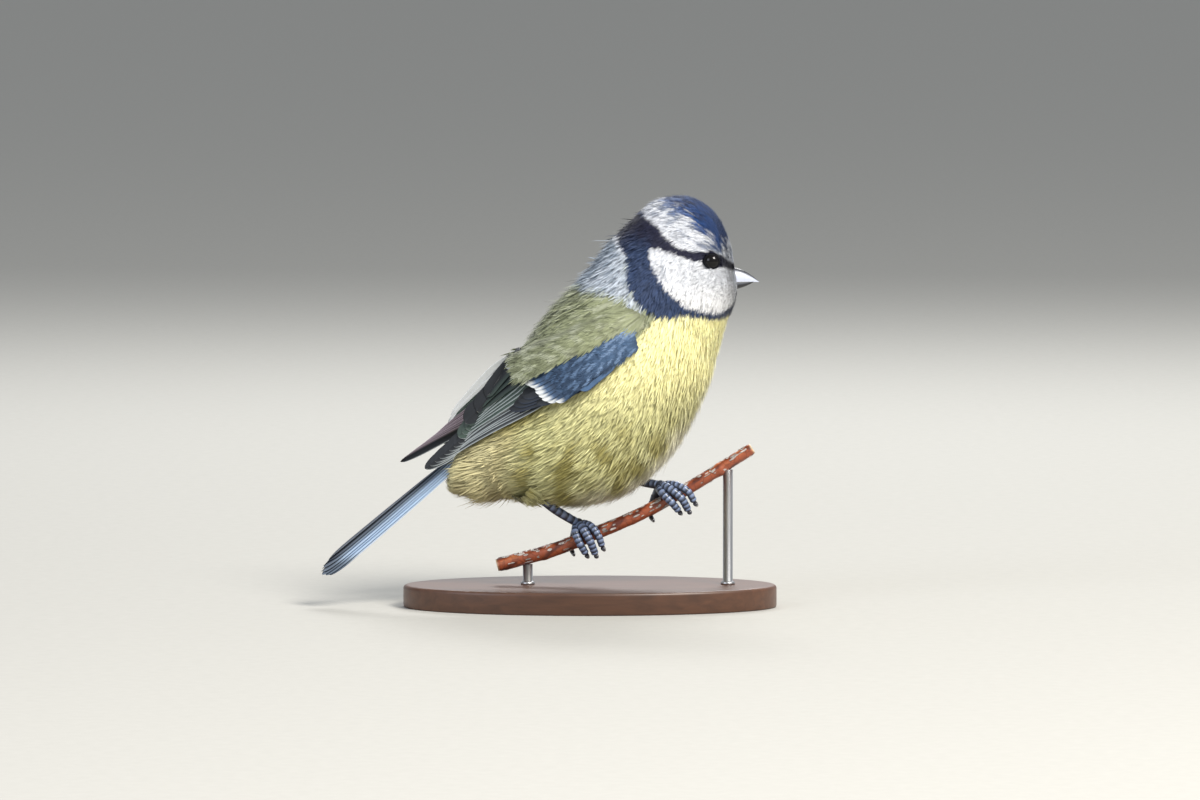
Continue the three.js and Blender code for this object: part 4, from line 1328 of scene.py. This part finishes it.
def ball(middle, radius, rows=32, columns=48):
    """Points and faces of a ball whose poles lie on its left and right."""
    polar, round_ = np.meshgrid(np.linspace(0.02, np.pi - 0.02, rows),
                                np.linspace(0, 2 * np.pi, columns, endpoint=False), indexing="ij")
    p = np.stack([np.sin(polar) * np.cos(round_), np.cos(polar), np.sin(polar) * np.sin(round_)], -1)
    points = p.reshape(-1, 3) * radius + middle
    poles = np.stack([points[:columns].mean(0), points[-columns:].mean(0)])
    j = np.arange(columns)
    k = (j + 1) % columns
    n = rows * columns
    tops = [np.stack([np.full(columns, n), k, j], -1),
            np.stack([np.full(columns, n + 1), n - columns + j, n - columns + k], -1)]
    return np.vstack([points, poles]), [grid_faces(rows, columns, closed=True), *tops]


for side_name, side in SIDES.items():
    middle = np.array([EYE["x"], side * EYE["y"], EYE["z"]])
    points, faces = ball(middle, EYE["radius"])
    make_piece("eyeball_" + side_name, points, faces, CORNEA, nodes=["eye_" + side_name])
    around, tube_angle = np.meshgrid(np.linspace(0, 2 * np.pi, 96, endpoint=False),
                                     np.linspace(0, 2 * np.pi, 16, endpoint=False), indexing="ij")
    bead = LID["bead"] * np.abs(np.sin(around * LID["beads"] / 2))
    thick = LID["thick"] + bead
    ring = LID["radius"] + thick * np.cos(tube_angle)
    out = LID["out"] - 0.12 * np.cos(around) + thick * 0.9 * np.sin(tube_angle)
    points = np.stack([middle[0] + ring * np.cos(around) * 1.05, middle[1] + side * out,
                       middle[2] + ring * np.sin(around) * 0.95], -1).reshape(-1, 3)
    tint = np.broadcast_to(lid_dark, points.shape) * (1 + 4 * bead.ravel()[:, None])
    make_piece("lids_" + side_name, points, [ring_faces(96, 16)], LID_SKIN, tint)

# %% [markdown]
# The twig is a smooth curve in the middle plane. Toes are placed round it by angle and distance, so
# the grip follows the twig wherever it bends.

# %% The twig's line
TWIG = np.array([[-20.9, 9.3], [-8.5, 12.7], [2.6, 17.1], [11.8, 21.1], [23.8, 27.7], [36.5, 35.7]])
TWIG_RADIUS = (1.55, 1.3)
FRONT = np.array([0.0, -1, 0])


def twig_frame(x):
    """Middle of the twig at x, its direction, up across it, and the way to the front."""
    places = np.linspace(0, len(TWIG) - 1, 2001)
    line = along_curve(TWIG, places)
    i = int(np.argmin(np.abs(line[:, 0] - x)))
    i = min(max(i, 1), len(line) - 2)
    run = unit(line[i + 1] - line[i - 1])
    along = np.array([run[0], 0, run[1]])
    return np.array([line[i, 0], 0, line[i, 1]]), along, np.array([-run[1], 0, run[0]])


def around_twig(frame_at, shift, degrees, distance, slant=0.0):
    """A place round the twig: along it, turned from the top to the front, and from its middle."""
    middle, along, up = frame_at
    a = math.radians(degrees)
    shift += slant * min(max(degrees, -100), 110) / 90
    return middle + along * shift + up * math.cos(a) * distance + FRONT * math.sin(a) * distance


print("the right foot's place on the twig in mm:", twig_frame(-1.3)[0].round(1))

# %% [markdown]
# Toes, legs, claws and the twig are all tubes along a smooth curve. Blender could bevel a curve, but
# a tube made from rings can swell and step out at every scute, and it is real mesh at once.

# %% Tubes
def sweep(points, steps):
    """Even steps along a smooth curve: places and directions."""
    fine = along_curve(np.array(points, float), np.linspace(0, len(points) - 1, 400))
    gone = np.concatenate([[0], np.cumsum(np.linalg.norm(np.diff(fine, axis=0), axis=1))])
    at = np.linspace(0, gone[-1], steps)
    line = np.stack([np.interp(at, gone, fine[:, i]) for i in range(3)], -1)
    along = unit(np.gradient(line, axis=0))
    return line, along


def tube(points, steps, sides, radius, out):
    """A closed tube. radius(s, a) is its radius, out the way a = 0 points at each step."""
    line, along = sweep(points, steps)
    first = unit(out(line) - (out(line) * along).sum(-1, keepdims=True) * along)
    second = np.cross(along, first)
    s, a = np.meshgrid(np.linspace(0, 1, steps), np.linspace(0, 2 * np.pi, sides, endpoint=False),
                       indexing="ij")
    r = radius(s, a)
    ring = line[:, None] + first[:, None] * (np.cos(a) * r)[..., None] \
        + second[:, None] * (np.sin(a) * r)[..., None]
    points = np.vstack([ring.reshape(-1, 3), line[:1], line[-1:]])
    n = steps * sides
    j = np.arange(sides)
    k = (j + 1) % sides
    ends = [np.stack([np.full(sides, n), k, j], -1),
            np.stack([np.full(sides, n + 1), n - sides + j, n - sides + k], -1)]
    return points, [grid_faces(steps, sides, closed=True), *ends], s.ravel(), a.ravel()


twig_line = np.stack([TWIG[:, 0], np.zeros(len(TWIG)), TWIG[:, 1]], -1)
along_twig, _directions = sweep(twig_line, 200)
print("twig's length in mm:", round(float(np.linalg.norm(np.diff(along_twig, axis=0), axis=1).sum()), 1))

# %% [markdown]
# A songbird's foot is blue-grey leather. Raised plates, the scutes, overlap down the front of the
# leg and the back of each toe, with dark seams between, and soft pads line the underside. Each toe
# is a tube whose upper side steps out at every scute and whose lower side swells at every pad. On the
# upper side the raised end of each plate carries a painted highlight, and the lower side is painted
# darker as shade.

# %% Scuted skin
LEG_SKIN = horn("scuted_leg_skin", 0.36, 0.15)
CLAW_HORN = horn("keratin_claw", 0.28, 0.4)
# shine is a painted highlight, put on the upper side of each plate
seam, plate, shine = linear("#0C0E14"), linear("#2B3345"), linear("#8596BA")
claw_grey = linear("#34343C")


def scuted(count, base, tip, step=0.13, pad=0.08):
    """Radius and tint of a toe or leg with count scutes."""

    def radius(s, a):
        r = base + (tip - base) * s
        saw = 1 - (s * count) % 1
        upper = ease(-0.2, 0.5, np.cos(a))
        plates = step * (saw**0.7 - 0.5) * upper
        pads = pad * np.sin(s * count * np.pi) ** 2 * (1 - upper)
        tip_round = np.sqrt(np.maximum(1e-3, 1 - np.clip((s - 0.93) / 0.07, 0, 1) ** 2))
        root_round = np.sqrt(np.maximum(1e-3, 1 - np.clip((0.05 - s) / 0.05, 0, 1) ** 2))
        return r * (1 + plates + pads) * tip_round * root_round

    def tint(s, a):
        place = (s * count) % 1
        upper = ease(-0.2, 0.5, np.cos(a))
        colour = np.broadcast_to(plate, s.shape + (3,))
        # painted highlight on the upper side, at the raised end of each plate
        colour = mixed(colour, shine, 0.75 * upper * ease(0.75, 0.2, place))
        colour = mixed(colour, seam, 0.9 * ease(0.78, 0.95, place) * upper)
        # painted shade: the lower side is darker
        return mixed(colour, seam, 0.45 * (1 - upper))

    return radius, tint


print("materials:", LEG_SKIN.name, CLAW_HORN.name)

# %% [markdown]
# Three toes go over the twig to the front, and the hind toe, number 1, grips it from behind. A toe's
# path is a row of places round the twig: millimetres along it, degrees from its top, and millimetres
# from its middle line.

# %% Toes and their grip
TOE_GIRTH = 1.14
TOES = {
    2: dict(path=[(-0.6, 8, 3.3), (-1.5, 50, 3.15), (-1.8, 100, 3.3), (-1.5, 142, 4.3)],
            radius=(0.85, 0.66), scutes=8, claw=56),
    3: dict(path=[(0.1, 8, 3.45), (0.4, 52, 3.4), (0.5, 104, 3.6), (0.4, 150, 5.0)],
            radius=(0.9, 0.7), scutes=10, claw=50),
    4: dict(path=[(0.9, 8, 3.3), (2.2, 48, 3.15), (2.7, 96, 3.3), (2.5, 138, 4.3)],
            radius=(0.82, 0.64), scutes=9, claw=56),
    1: dict(path=[(0, -8, 3.2), (-1.0, -50, 3.0), (-2.4, -92, 2.9), (-3.2, -118, 3.2)],
            radius=(0.95, 0.75), scutes=5, claw=60),
}
FEET = {
    "right": dict(x=-1.3, heel=HEELS["right"], slant=0.5),
    "left": dict(x=17.6, heel=HEELS["left"], slant=2.0),
}


def joined(parts):
    """Several (points, faces, tint) as one."""
    points, faces, tints, start = [], [], [], 0
    for p, f, tint in parts:
        points.append(p)
        tints.append(tint)
        faces += [np.asarray(g) + start for g in f]
        start += len(p)
    return np.vstack(points), faces, np.vstack(tints)


def with_ends(tint, s, a):
    """The tint of a tube's rings and of its two end points."""
    rings = tint(s, a)
    return np.vstack([rings, rings[:1], rings[-1:]])


print("scutes on the toes:", {number: toe["scutes"] for number, toe in TOES.items()})

# %% [markdown]
# The four toes of a foot and the ball over the twig are one piece. The shank is one more tube, from
# inside the trousers to that ball, and each claw is a thin cone that hooks on round the twig.

# %% Feet, shanks and claws
BALL = {"height": 3.45, "radius": 1.35}  # of the foot, over the twig's middle line
ANKLE_HEIGHT = 3.6
for side_name, foot in FEET.items():
    at = twig_frame(foot["x"])
    parts = []
    for toe in TOES.values():
        places = [around_twig(at, *p, foot["slant"]) for p in toe["path"]]
        radius, tint = scuted(toe["scutes"], *(TOE_GIRTH * r for r in toe["radius"]))
        points, faces, s, a = tube(places, 60, 22, radius, lambda line, m=at[0]: line - m)
        parts.append((points, faces, with_ends(tint, s, a)))
    points, faces = ball(around_twig(at, 0, 0, BALL["height"]), BALL["radius"], rows=16, columns=24)
    parts.append((points, faces, np.broadcast_to(plate * 0.9, points.shape)))
    points, faces, tint = joined(parts)
    make_piece("toes_" + side_name, points, faces, LEG_SKIN, tint,
               nodes=["foot_" + side_name])

    ankle = around_twig(at, 0, 0, ANKLE_HEIGHT)
    bend = (foot["heel"] + ankle) / 2 + [-0.3, 0, -0.3]
    start = foot["heel"] + (foot["heel"] - bend) * 0.25
    radius, tint = scuted(9, 1.1, 0.98, step=0.1, pad=0.0)
    points, faces, s, a = tube([start, foot["heel"], bend, ankle], 70, 24, radius,
                               lambda line: np.broadcast_to([0.6, -0.7, 0.4], line.shape))
    make_piece("tarsus_" + side_name, points, faces, LEG_SKIN, with_ends(tint, s, a),
               nodes=["leg_" + side_name])

    for number, toe in TOES.items():
        shift, degrees, distance = toe["path"][-1]
        turn = math.copysign(1, degrees)
        places = [around_twig(at, shift + 0.25 * s, degrees + turn * (6 + (toe["claw"] + 4) * s),
                              distance + 0.1 - 1.1 * s * s, foot["slant"]) for s in (0, 0.34, 0.67, 1)]
        points, faces, s, a = tube(places, 24, 14, lambda s, a: 0.5 * (1 - s) ** 0.75 + 0.05,
                                   lambda line, m=at[0]: line - m)
        tint = np.broadcast_to(claw_grey, points.shape)
        make_piece(f"talon_{side_name}_{number}", points, faces, CLAW_HORN, tint,
                   nodes=[f"claw_{side_name}_{number}"])

# %% [markdown]
# Young birch bark is thin, red-brown and smooth enough to shine a little: a half-rough surface under
# a weak, blurred coat. Fine cracks, 1.6 mm apart, darken it between its plates.

# %% Birch bark
def twig_bark():
    material, tree, output = new_material("birch_bark_thin_glossy")
    noise, colour = tinted(tree, 0.9, 0.7, 1.2)
    place = add(tree, "ShaderNodeTexCoord")
    plates = add(tree, "ShaderNodeTexVoronoi", [("Scale", per_mm(1.6)), ("Randomness", 1.0)],
                 [("Vector", place, "Object")], feature="DISTANCE_TO_EDGE")
    cracks = add(tree, "ShaderNodeMapRange", [("From Max", 0.08), ("To Min", 0.62), ("To Max", 1.0)],
                 [("Value", plates, "Distance")])
    dark = add(tree, "ShaderNodeMix", [("Factor", 1.0)], [("A", colour, "Result"), ("B", cracks, "Result")],
               data_type="RGBA", blend_type="MULTIPLY")
    bump = add(tree, "ShaderNodeBump", [("Strength", 0.5), ("Distance", 0.12 * MM)],
               [("Height", noise, "Fac")])
    shader = add(tree, "ShaderNodeBsdfPrincipled",
                 [("Roughness", 0.38), ("Coat Weight", 0.25), ("Coat Roughness", 0.3)],
                 [("Base Color", dark, "Result"), ("Normal", bump, "Normal")])
    close_material(tree, output, shader)
    return material


BARK = twig_bark()
print("material:", BARK.name)

# %% [markdown]
# The twig is cut off about 2 cm past each foot, and its two cut ends show pale wood. Swellings, small
# lumps and the rings of two buds that fell are in the mesh. Its colour runs from dark brown to a
# lighter orange in patches on the upper side, which is painted light.

# %% Twig
STEPS_TWIG, SIDES_TWIG = 260, 36
TWIG_LONG = 58.0  # how much of the noise one twig's length takes up, in mm
BUDS = {0.86: 0.16, 0.17: 0.12}  # place along the twig and height of a bud's ring


def around_grain(s, a):
    """Places for the bark's noise: along the twig and round it."""
    return np.stack([s * TWIG_LONG, np.cos(a) * 1.5, np.sin(a) * 1.5], -1)


def twig_radius(s, a):
    """Radius of the twig with its swellings, lumps, bud rings and bevelled ends."""
    line, _along = sweep(twig_line, STEPS_TWIG)
    swell = ripple(np.repeat(line[:, None], s.shape[1], 1)
                   + np.stack([0 * a, np.cos(a) * 1.5, np.sin(a) * 1.5], -1), 5.0, 31)
    fine = ripple(around_grain(s, a), 1.2, 32)
    rings = sum(high * np.exp(-(((s - at) / 0.012) ** 2)) for at, high in BUDS.items())
    bevel = 1 - 0.12 * (ease(0.012, 0, s) + ease(0.988, 1, s))
    taper = TWIG_RADIUS[0] + (TWIG_RADIUS[1] - TWIG_RADIUS[0]) * s
    return (taper + 0.05 * swell + 0.02 * fine + rings) * bevel


points, faces, s, a = tube(twig_line, STEPS_TWIG, SIDES_TWIG, twig_radius,
                           lambda line: np.broadcast_to([0.0, 0, 1], line.shape))
rough = ripple(around_grain(s, a), 3.0, 33)
bark = mixed(np.broadcast_to(linear("#94492B"), (len(s), 3)), linear("#5C2818"), ease(0.0, 0.9, rough))
# painted light: lighter orange patches on the twig's upper side
bark = mixed(bark, linear("#C77B4C"), 0.6 * ease(0.2, 0.9, -rough) * ease(-0.2, 0.8, np.cos(a)))
wood = linear("#D8C09A")
bark = mixed(bark, wood, ease(0.006, 0.0, s) + ease(0.994, 1.0, s))
tint = np.vstack([bark, [wood], [wood]])
make_piece("twig", points, faces, BARK, tint, nodes=["perch"])

# %% [markdown]
# An outer skin peels off the bark in silvery flecks: thin curled flakes that stand a little off it,
# most of them on the upper side. Each is a closed sheet with ragged edges, curved round the twig.

# %% Peeling flecks
FLAKES = 260
FLAKE_ROWS, FLAKE_COLUMNS = 7, 5
FLAKE_THICK = 0.07
FLAKE_HEIGHT = 1.58  # from the twig's middle line at its thick end
TWIG_TAPER = 0.0045  # how much thinner the twig gets in each mm
silver = linear("#CFC6C0")


def round_twig(frame_at, shift, angle, height):
    """Places on a sheet round the twig."""
    middle, along, up = frame_at
    out = up * np.cos(angle)[..., None] + FRONT * np.sin(angle)[..., None]
    return middle + along * shift[..., None] + out * height[..., None]


parts = []
for _ in range(FLAKES):
    at_x = draw.uniform(-20.0, 35.8)
    at = twig_frame(at_x)
    centre_angle = draw.normal(0, 1.1)
    long, wide = draw.uniform(0.5, 1.9), draw.uniform(0.1, 0.28)
    u, v = np.meshgrid(np.linspace(-1, 1, FLAKE_ROWS), np.linspace(-1, 1, FLAKE_COLUMNS), indexing="ij")
    ragged = np.sqrt(np.maximum(0.03, 1 - u**2)) * (1 + draw.normal(0, 0.15, (FLAKE_ROWS, 1)))
    angle = centre_angle + v * ragged * wide / 1.5
    curl = 0.12 * u**2 * draw.uniform(0, 1) + 0.05 * np.abs(v)
    height = FLAKE_HEIGHT - TWIG_TAPER * (at_x - TWIG[0, 0]) + curl
    top = round_twig(at, u * long / 2, angle, height)
    low = round_twig(at, u * long / 2, angle, height - FLAKE_THICK)
    flake = np.vstack([top.reshape(-1, 3), low.reshape(-1, 3)])
    upper = grid_faces(FLAKE_ROWS, FLAKE_COLUMNS)
    rim = rim_of(FLAKE_ROWS, FLAKE_COLUMNS)
    under = FLAKE_ROWS * FLAKE_COLUMNS
    nexts = np.roll(rim, -1)
    edge = np.stack([rim, rim + under, nexts + under, nexts], -1)
    pale = silver * draw.uniform(0.35, 1.0)
    parts.append((flake, [upper, upper[:, ::-1] + under, edge], np.broadcast_to(pale, flake.shape)))
points, faces, tint = joined(parts)
make_piece("twig_peeling_flecks", points, faces, BARK, tint)

# %% [markdown]
# The stand isn't the bird's own: it is a plain museum stand. Its base is walnut, stained dark and
# waxed. Long pores run through it, drawn 1.4 mm apart and so coarser than life, where they are a few
# tenths, so that they show. Over them lies a broad figure of bands 37.7 mm wide. The wax gives a soft,
# wide gloss.

# %% Walnut
def waxed_walnut():
    material, tree, output = new_material("walnut_stained_and_waxed")
    place = add(tree, "ShaderNodeTexCoord")
    stretched = add(tree, "ShaderNodeMapping", [("Scale", (0.12, 1.0, 1.0))],
                    [("Vector", place, "Object")])
    grain = add(tree, "ShaderNodeTexNoise",
                [("Scale", per_mm(1.4)), ("Detail", 6.0), ("Distortion", 0.6)],
                [("Vector", stretched, "Vector")])
    rings = add(tree, "ShaderNodeTexWave",
                [("Scale", per_mm(37.7) * WAVE), ("Distortion", 5.0), ("Detail", 3.0)],
                [("Vector", stretched, "Vector")], bands_direction="Y")
    dark = add(tree, "ShaderNodeMix",
               [("A", (*linear("#3A2418"), 1)), ("B", (*linear("#6B4630"), 1))],
               [("Factor", grain, "Fac")], data_type="RGBA")
    ringed = add(tree, "ShaderNodeMix", [("B", (*linear("#2C1A12"), 1))],
                 [("A", dark, "Result"), ("Factor", rings, "Fac")], data_type="RGBA",
                 blend_type="MULTIPLY")
    soft = add(tree, "ShaderNodeMix", [("Factor", 0.3)], [("A", dark, "Result"), ("B", ringed, "Result")],
               data_type="RGBA")
    bump = add(tree, "ShaderNodeBump", [("Strength", 0.25), ("Distance", 0.08 * MM)],
               [("Height", grain, "Fac")])
    shader = add(tree, "ShaderNodeBsdfPrincipled",
                 [("Roughness", 0.42), ("Coat Weight", 0.2), ("Coat Roughness", 0.35)],
                 [("Base Color", soft, "Result"), ("Normal", bump, "Normal")])
    close_material(tree, output, shader)
    return material


WALNUT = waxed_walnut()
print("material:", WALNUT.name)

# %% [markdown]
# The rods are bright drawn steel, rubbed to satin along their length. The rubbing leaves fine upright
# streaks, which blur the reflections by turns. They are drawn 0.3 mm apart, coarser than life, so
# that they show.

# %% Steel
def satin_steel():
    material, tree, output = new_material("satin_steel_rod")
    place = add(tree, "ShaderNodeTexCoord")
    drawn = add(tree, "ShaderNodeMapping", [("Scale", (1.0, 1.0, 0.05))], [("Vector", place, "Object")])
    noise = add(tree, "ShaderNodeTexNoise", [("Scale", per_mm(0.3)), ("Detail", 2.0)],
                [("Vector", drawn, "Vector")])
    rough = add(tree, "ShaderNodeMapRange", [("To Min", 0.28), ("To Max", 0.42)],
                [("Value", noise, "Fac")])
    shader = add(tree, "ShaderNodeBsdfPrincipled",
                 [("Base Color", (*linear("#B9BABC"), 1)), ("Metallic", 1.0)],
                 [("Roughness", rough, "Result")])
    close_material(tree, output, shader)
    return material


STEEL = satin_steel()
print("material:", STEEL.name)

# %% [markdown]
# Base and rods are turned: a profile of radii and heights that runs once round. The base is squashed
# to an oval and has an eased edge. Each rod stands in a low collar and ends inside the twig. Their
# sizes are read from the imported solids.

# %% Turned base and rods
EASED = 0.8
COLLAR = 0.5  # how far a rod's collar stands out, and its height


def lathe(profile, sides, squash=1.0, middle=(0, 0, 0)):
    """A turned form from (radius, height) rows that start and end near the axis."""
    profile = np.array(profile, float)
    a = np.linspace(0, 2 * np.pi, sides, endpoint=False)
    ring = np.stack([profile[:, :1] * np.cos(a), profile[:, :1] * np.sin(a) * squash,
                     profile[:, 1:] + 0 * a], -1)
    n = len(profile) * sides
    points = np.vstack([ring.reshape(-1, 3), [[0, 0, profile[0, 1]], [0, 0, profile[-1, 1]]]])
    j = np.arange(sides)
    k = (j + 1) % sides
    ends = [np.stack([np.full(sides, n), k, j], -1),
            np.stack([np.full(sides, n + 1), n - sides + j, n - sides + k], -1)]
    return points + middle, [grid_faces(len(profile), sides, closed=True), *ends]


half_long, half_wide, tall = np.array(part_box("stand_base")[1]) / MM
arc = np.linspace(0, np.pi / 2, 9)
profile = [(20, 0), (half_long - 0.5, 0), (half_long - 0.1, 0.12), (half_long, 0.4)]
profile += [(half_long - EASED * (1 - math.cos(b)), tall - EASED * (1 - math.sin(b))) for b in arc]
profile += [(half_long - EASED - 0.3, tall), (20, tall)]
points, faces = lathe(profile, 192, squash=half_wide / half_long)
make_piece("walnut_base", points, faces, WALNUT, nodes=["stand_base"])
for node_name in ("stand_rod_1", "stand_rod_2"):
    low, high = (np.array(c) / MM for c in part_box(node_name))
    x, r = (low[0] + high[0]) / 2, (high[0] - low[0]) / 2
    foot_z, top_z = low[2] - 0.3, high[2] - 0.1
    profile = [(0.2, foot_z), (r + COLLAR, foot_z), (r + COLLAR, foot_z + COLLAR),
               (r + COLLAR / 2, foot_z + 1.5 * COLLAR), (r, foot_z + 1.6 * COLLAR),
               (r, top_z), (0.2, top_z)]
    points, faces = lathe(profile, 48, middle=(x, 0, 0))
    make_piece("steel_" + node_name[6:], points, faces, STEEL, nodes=[node_name])

# %% [markdown]
# The floor is one large flat sheet of pale matt paper: rough, with hardly any shine, and faintly
# mottled with fibres 3 mm long. It runs on so far that the bird can be looked at from every side, and
# in the main view no horizon shows.

# %% Floor
def matt_paper():
    material, tree, output = new_material("matt_background_paper")
    place = add(tree, "ShaderNodeTexCoord")
    noise = add(tree, "ShaderNodeTexNoise", [("Scale", per_mm(3.0))], [("Vector", place, "Object")])
    tone = add(tree, "ShaderNodeMix",
               [("A", (*linear("#B0AFAA"), 1)), ("B", (*linear("#B7B6B1"), 1))],
               [("Factor", noise, "Fac")], data_type="RGBA")
    shader = add(tree, "ShaderNodeBsdfPrincipled", [("Roughness", 0.95), ("Specular IOR Level", 0.1)],
                 [("Base Color", tone, "Result")])
    close_material(tree, output, shader)
    return material


FLOOR_REACH = 14.0  # metres from the bird to each edge of the sheet
mesh = bpy.data.meshes.new("paper_floor")
corners = [(x * FLOOR_REACH, y * FLOOR_REACH, 0.0) for x, y in ((-1, -1), (1, -1), (1, 1), (-1, 1))]
mesh.from_pydata(corners, [], [(0, 1, 2, 3)])
paper = bpy.data.objects.new("paper_floor", mesh)
bpy.context.scene.collection.objects.link(paper)
paper.data.materials.append(matt_paper())
print("each side of the floor in m:", 2 * FLOOR_REACH)

# %% [markdown]
# Soft studio light. The photo's sun stands high in front of the bird, so the key comes from the
# upper right and the cheek and breast are brightest. It is a box half a metre wide, which also gives
# the eye its highlight. A weaker fill opens the shadows on the left, a rim from behind draws the edge
# of the coat, and the world gives the rest, pale and even. The plain "Standard" view shows colours as
# they were picked, without a film's soft shoulder.

# %% Lights
TARGET = (0.0, 0.0, 0.05)


def soft_box(name, place, size, power, colour):
    """A rectangular area light that looks at the bird. Size in metres, power in watts."""
    light = bpy.data.lights.new(name, "AREA")
    light.shape = "RECTANGLE"
    light.size, light.size_y = size
    light.energy = power
    light.color = tuple(linear(colour))
    lamp = bpy.data.objects.new(name, light)
    lamp.location = place
    from_lamp = [t - p for t, p in zip(TARGET, place)]
    lamp.rotation_euler = Vector(from_lamp).to_track_quat("-Z", "Y").to_euler()
    bpy.context.scene.collection.objects.link(lamp)


soft_box("key_light", (0.62, -0.75, 0.95), (0.5, 0.5), 25, "#FFFAF2")
soft_box("fill_light", (-0.9, -0.8, 0.5), (0.6, 0.6), 4.5, "#EAF1FF")
soft_box("rim_light", (0.1, 0.75, 0.7), (0.5, 0.25), 6, "#FFFFFF")
world = bpy.data.worlds.new("studio")
bpy.context.scene.world = world
world.use_nodes = True
background = world.node_tree.nodes["Background"]
background.inputs["Color"].default_value = (*linear("#E9EDF2"), 1)
background.inputs["Strength"].default_value = 0.58
bpy.context.scene.view_settings.view_transform = "Standard"

# %% [markdown]
# The photo looks at the bird's right side, a few degrees from above, with a long lens. The scale in
# the picture, 4.45 pixels to a millimetre, and the distance give the focal length.

# %% Camera
PICTURE_WIDTH = 1200
PIXELS_PER_MM = 4.45
DISTANCE_MM = 2000
CENTRE = (2.25, 0.0, 46.6)
ELEVATION = math.radians(4)
SENSOR_MM = 36
camera = bpy.data.cameras.new("camera")
camera.sensor_width = SENSOR_MM
camera.lens = PIXELS_PER_MM * DISTANCE_MM * SENSOR_MM / PICTURE_WIDTH
camera.clip_start = 0.1
viewer = bpy.data.objects.new("camera", camera)
viewer.location = [MM * c for c in (CENTRE[0], -DISTANCE_MM * math.cos(ELEVATION),
                                    CENTRE[2] + DISTANCE_MM * math.sin(ELEVATION))]
viewer.rotation_euler = (math.radians(90) - ELEVATION, 0, 0)
bpy.context.scene.collection.objects.link(viewer)
bpy.context.scene.camera = viewer
print("lens in mm:", round(camera.lens, 1))
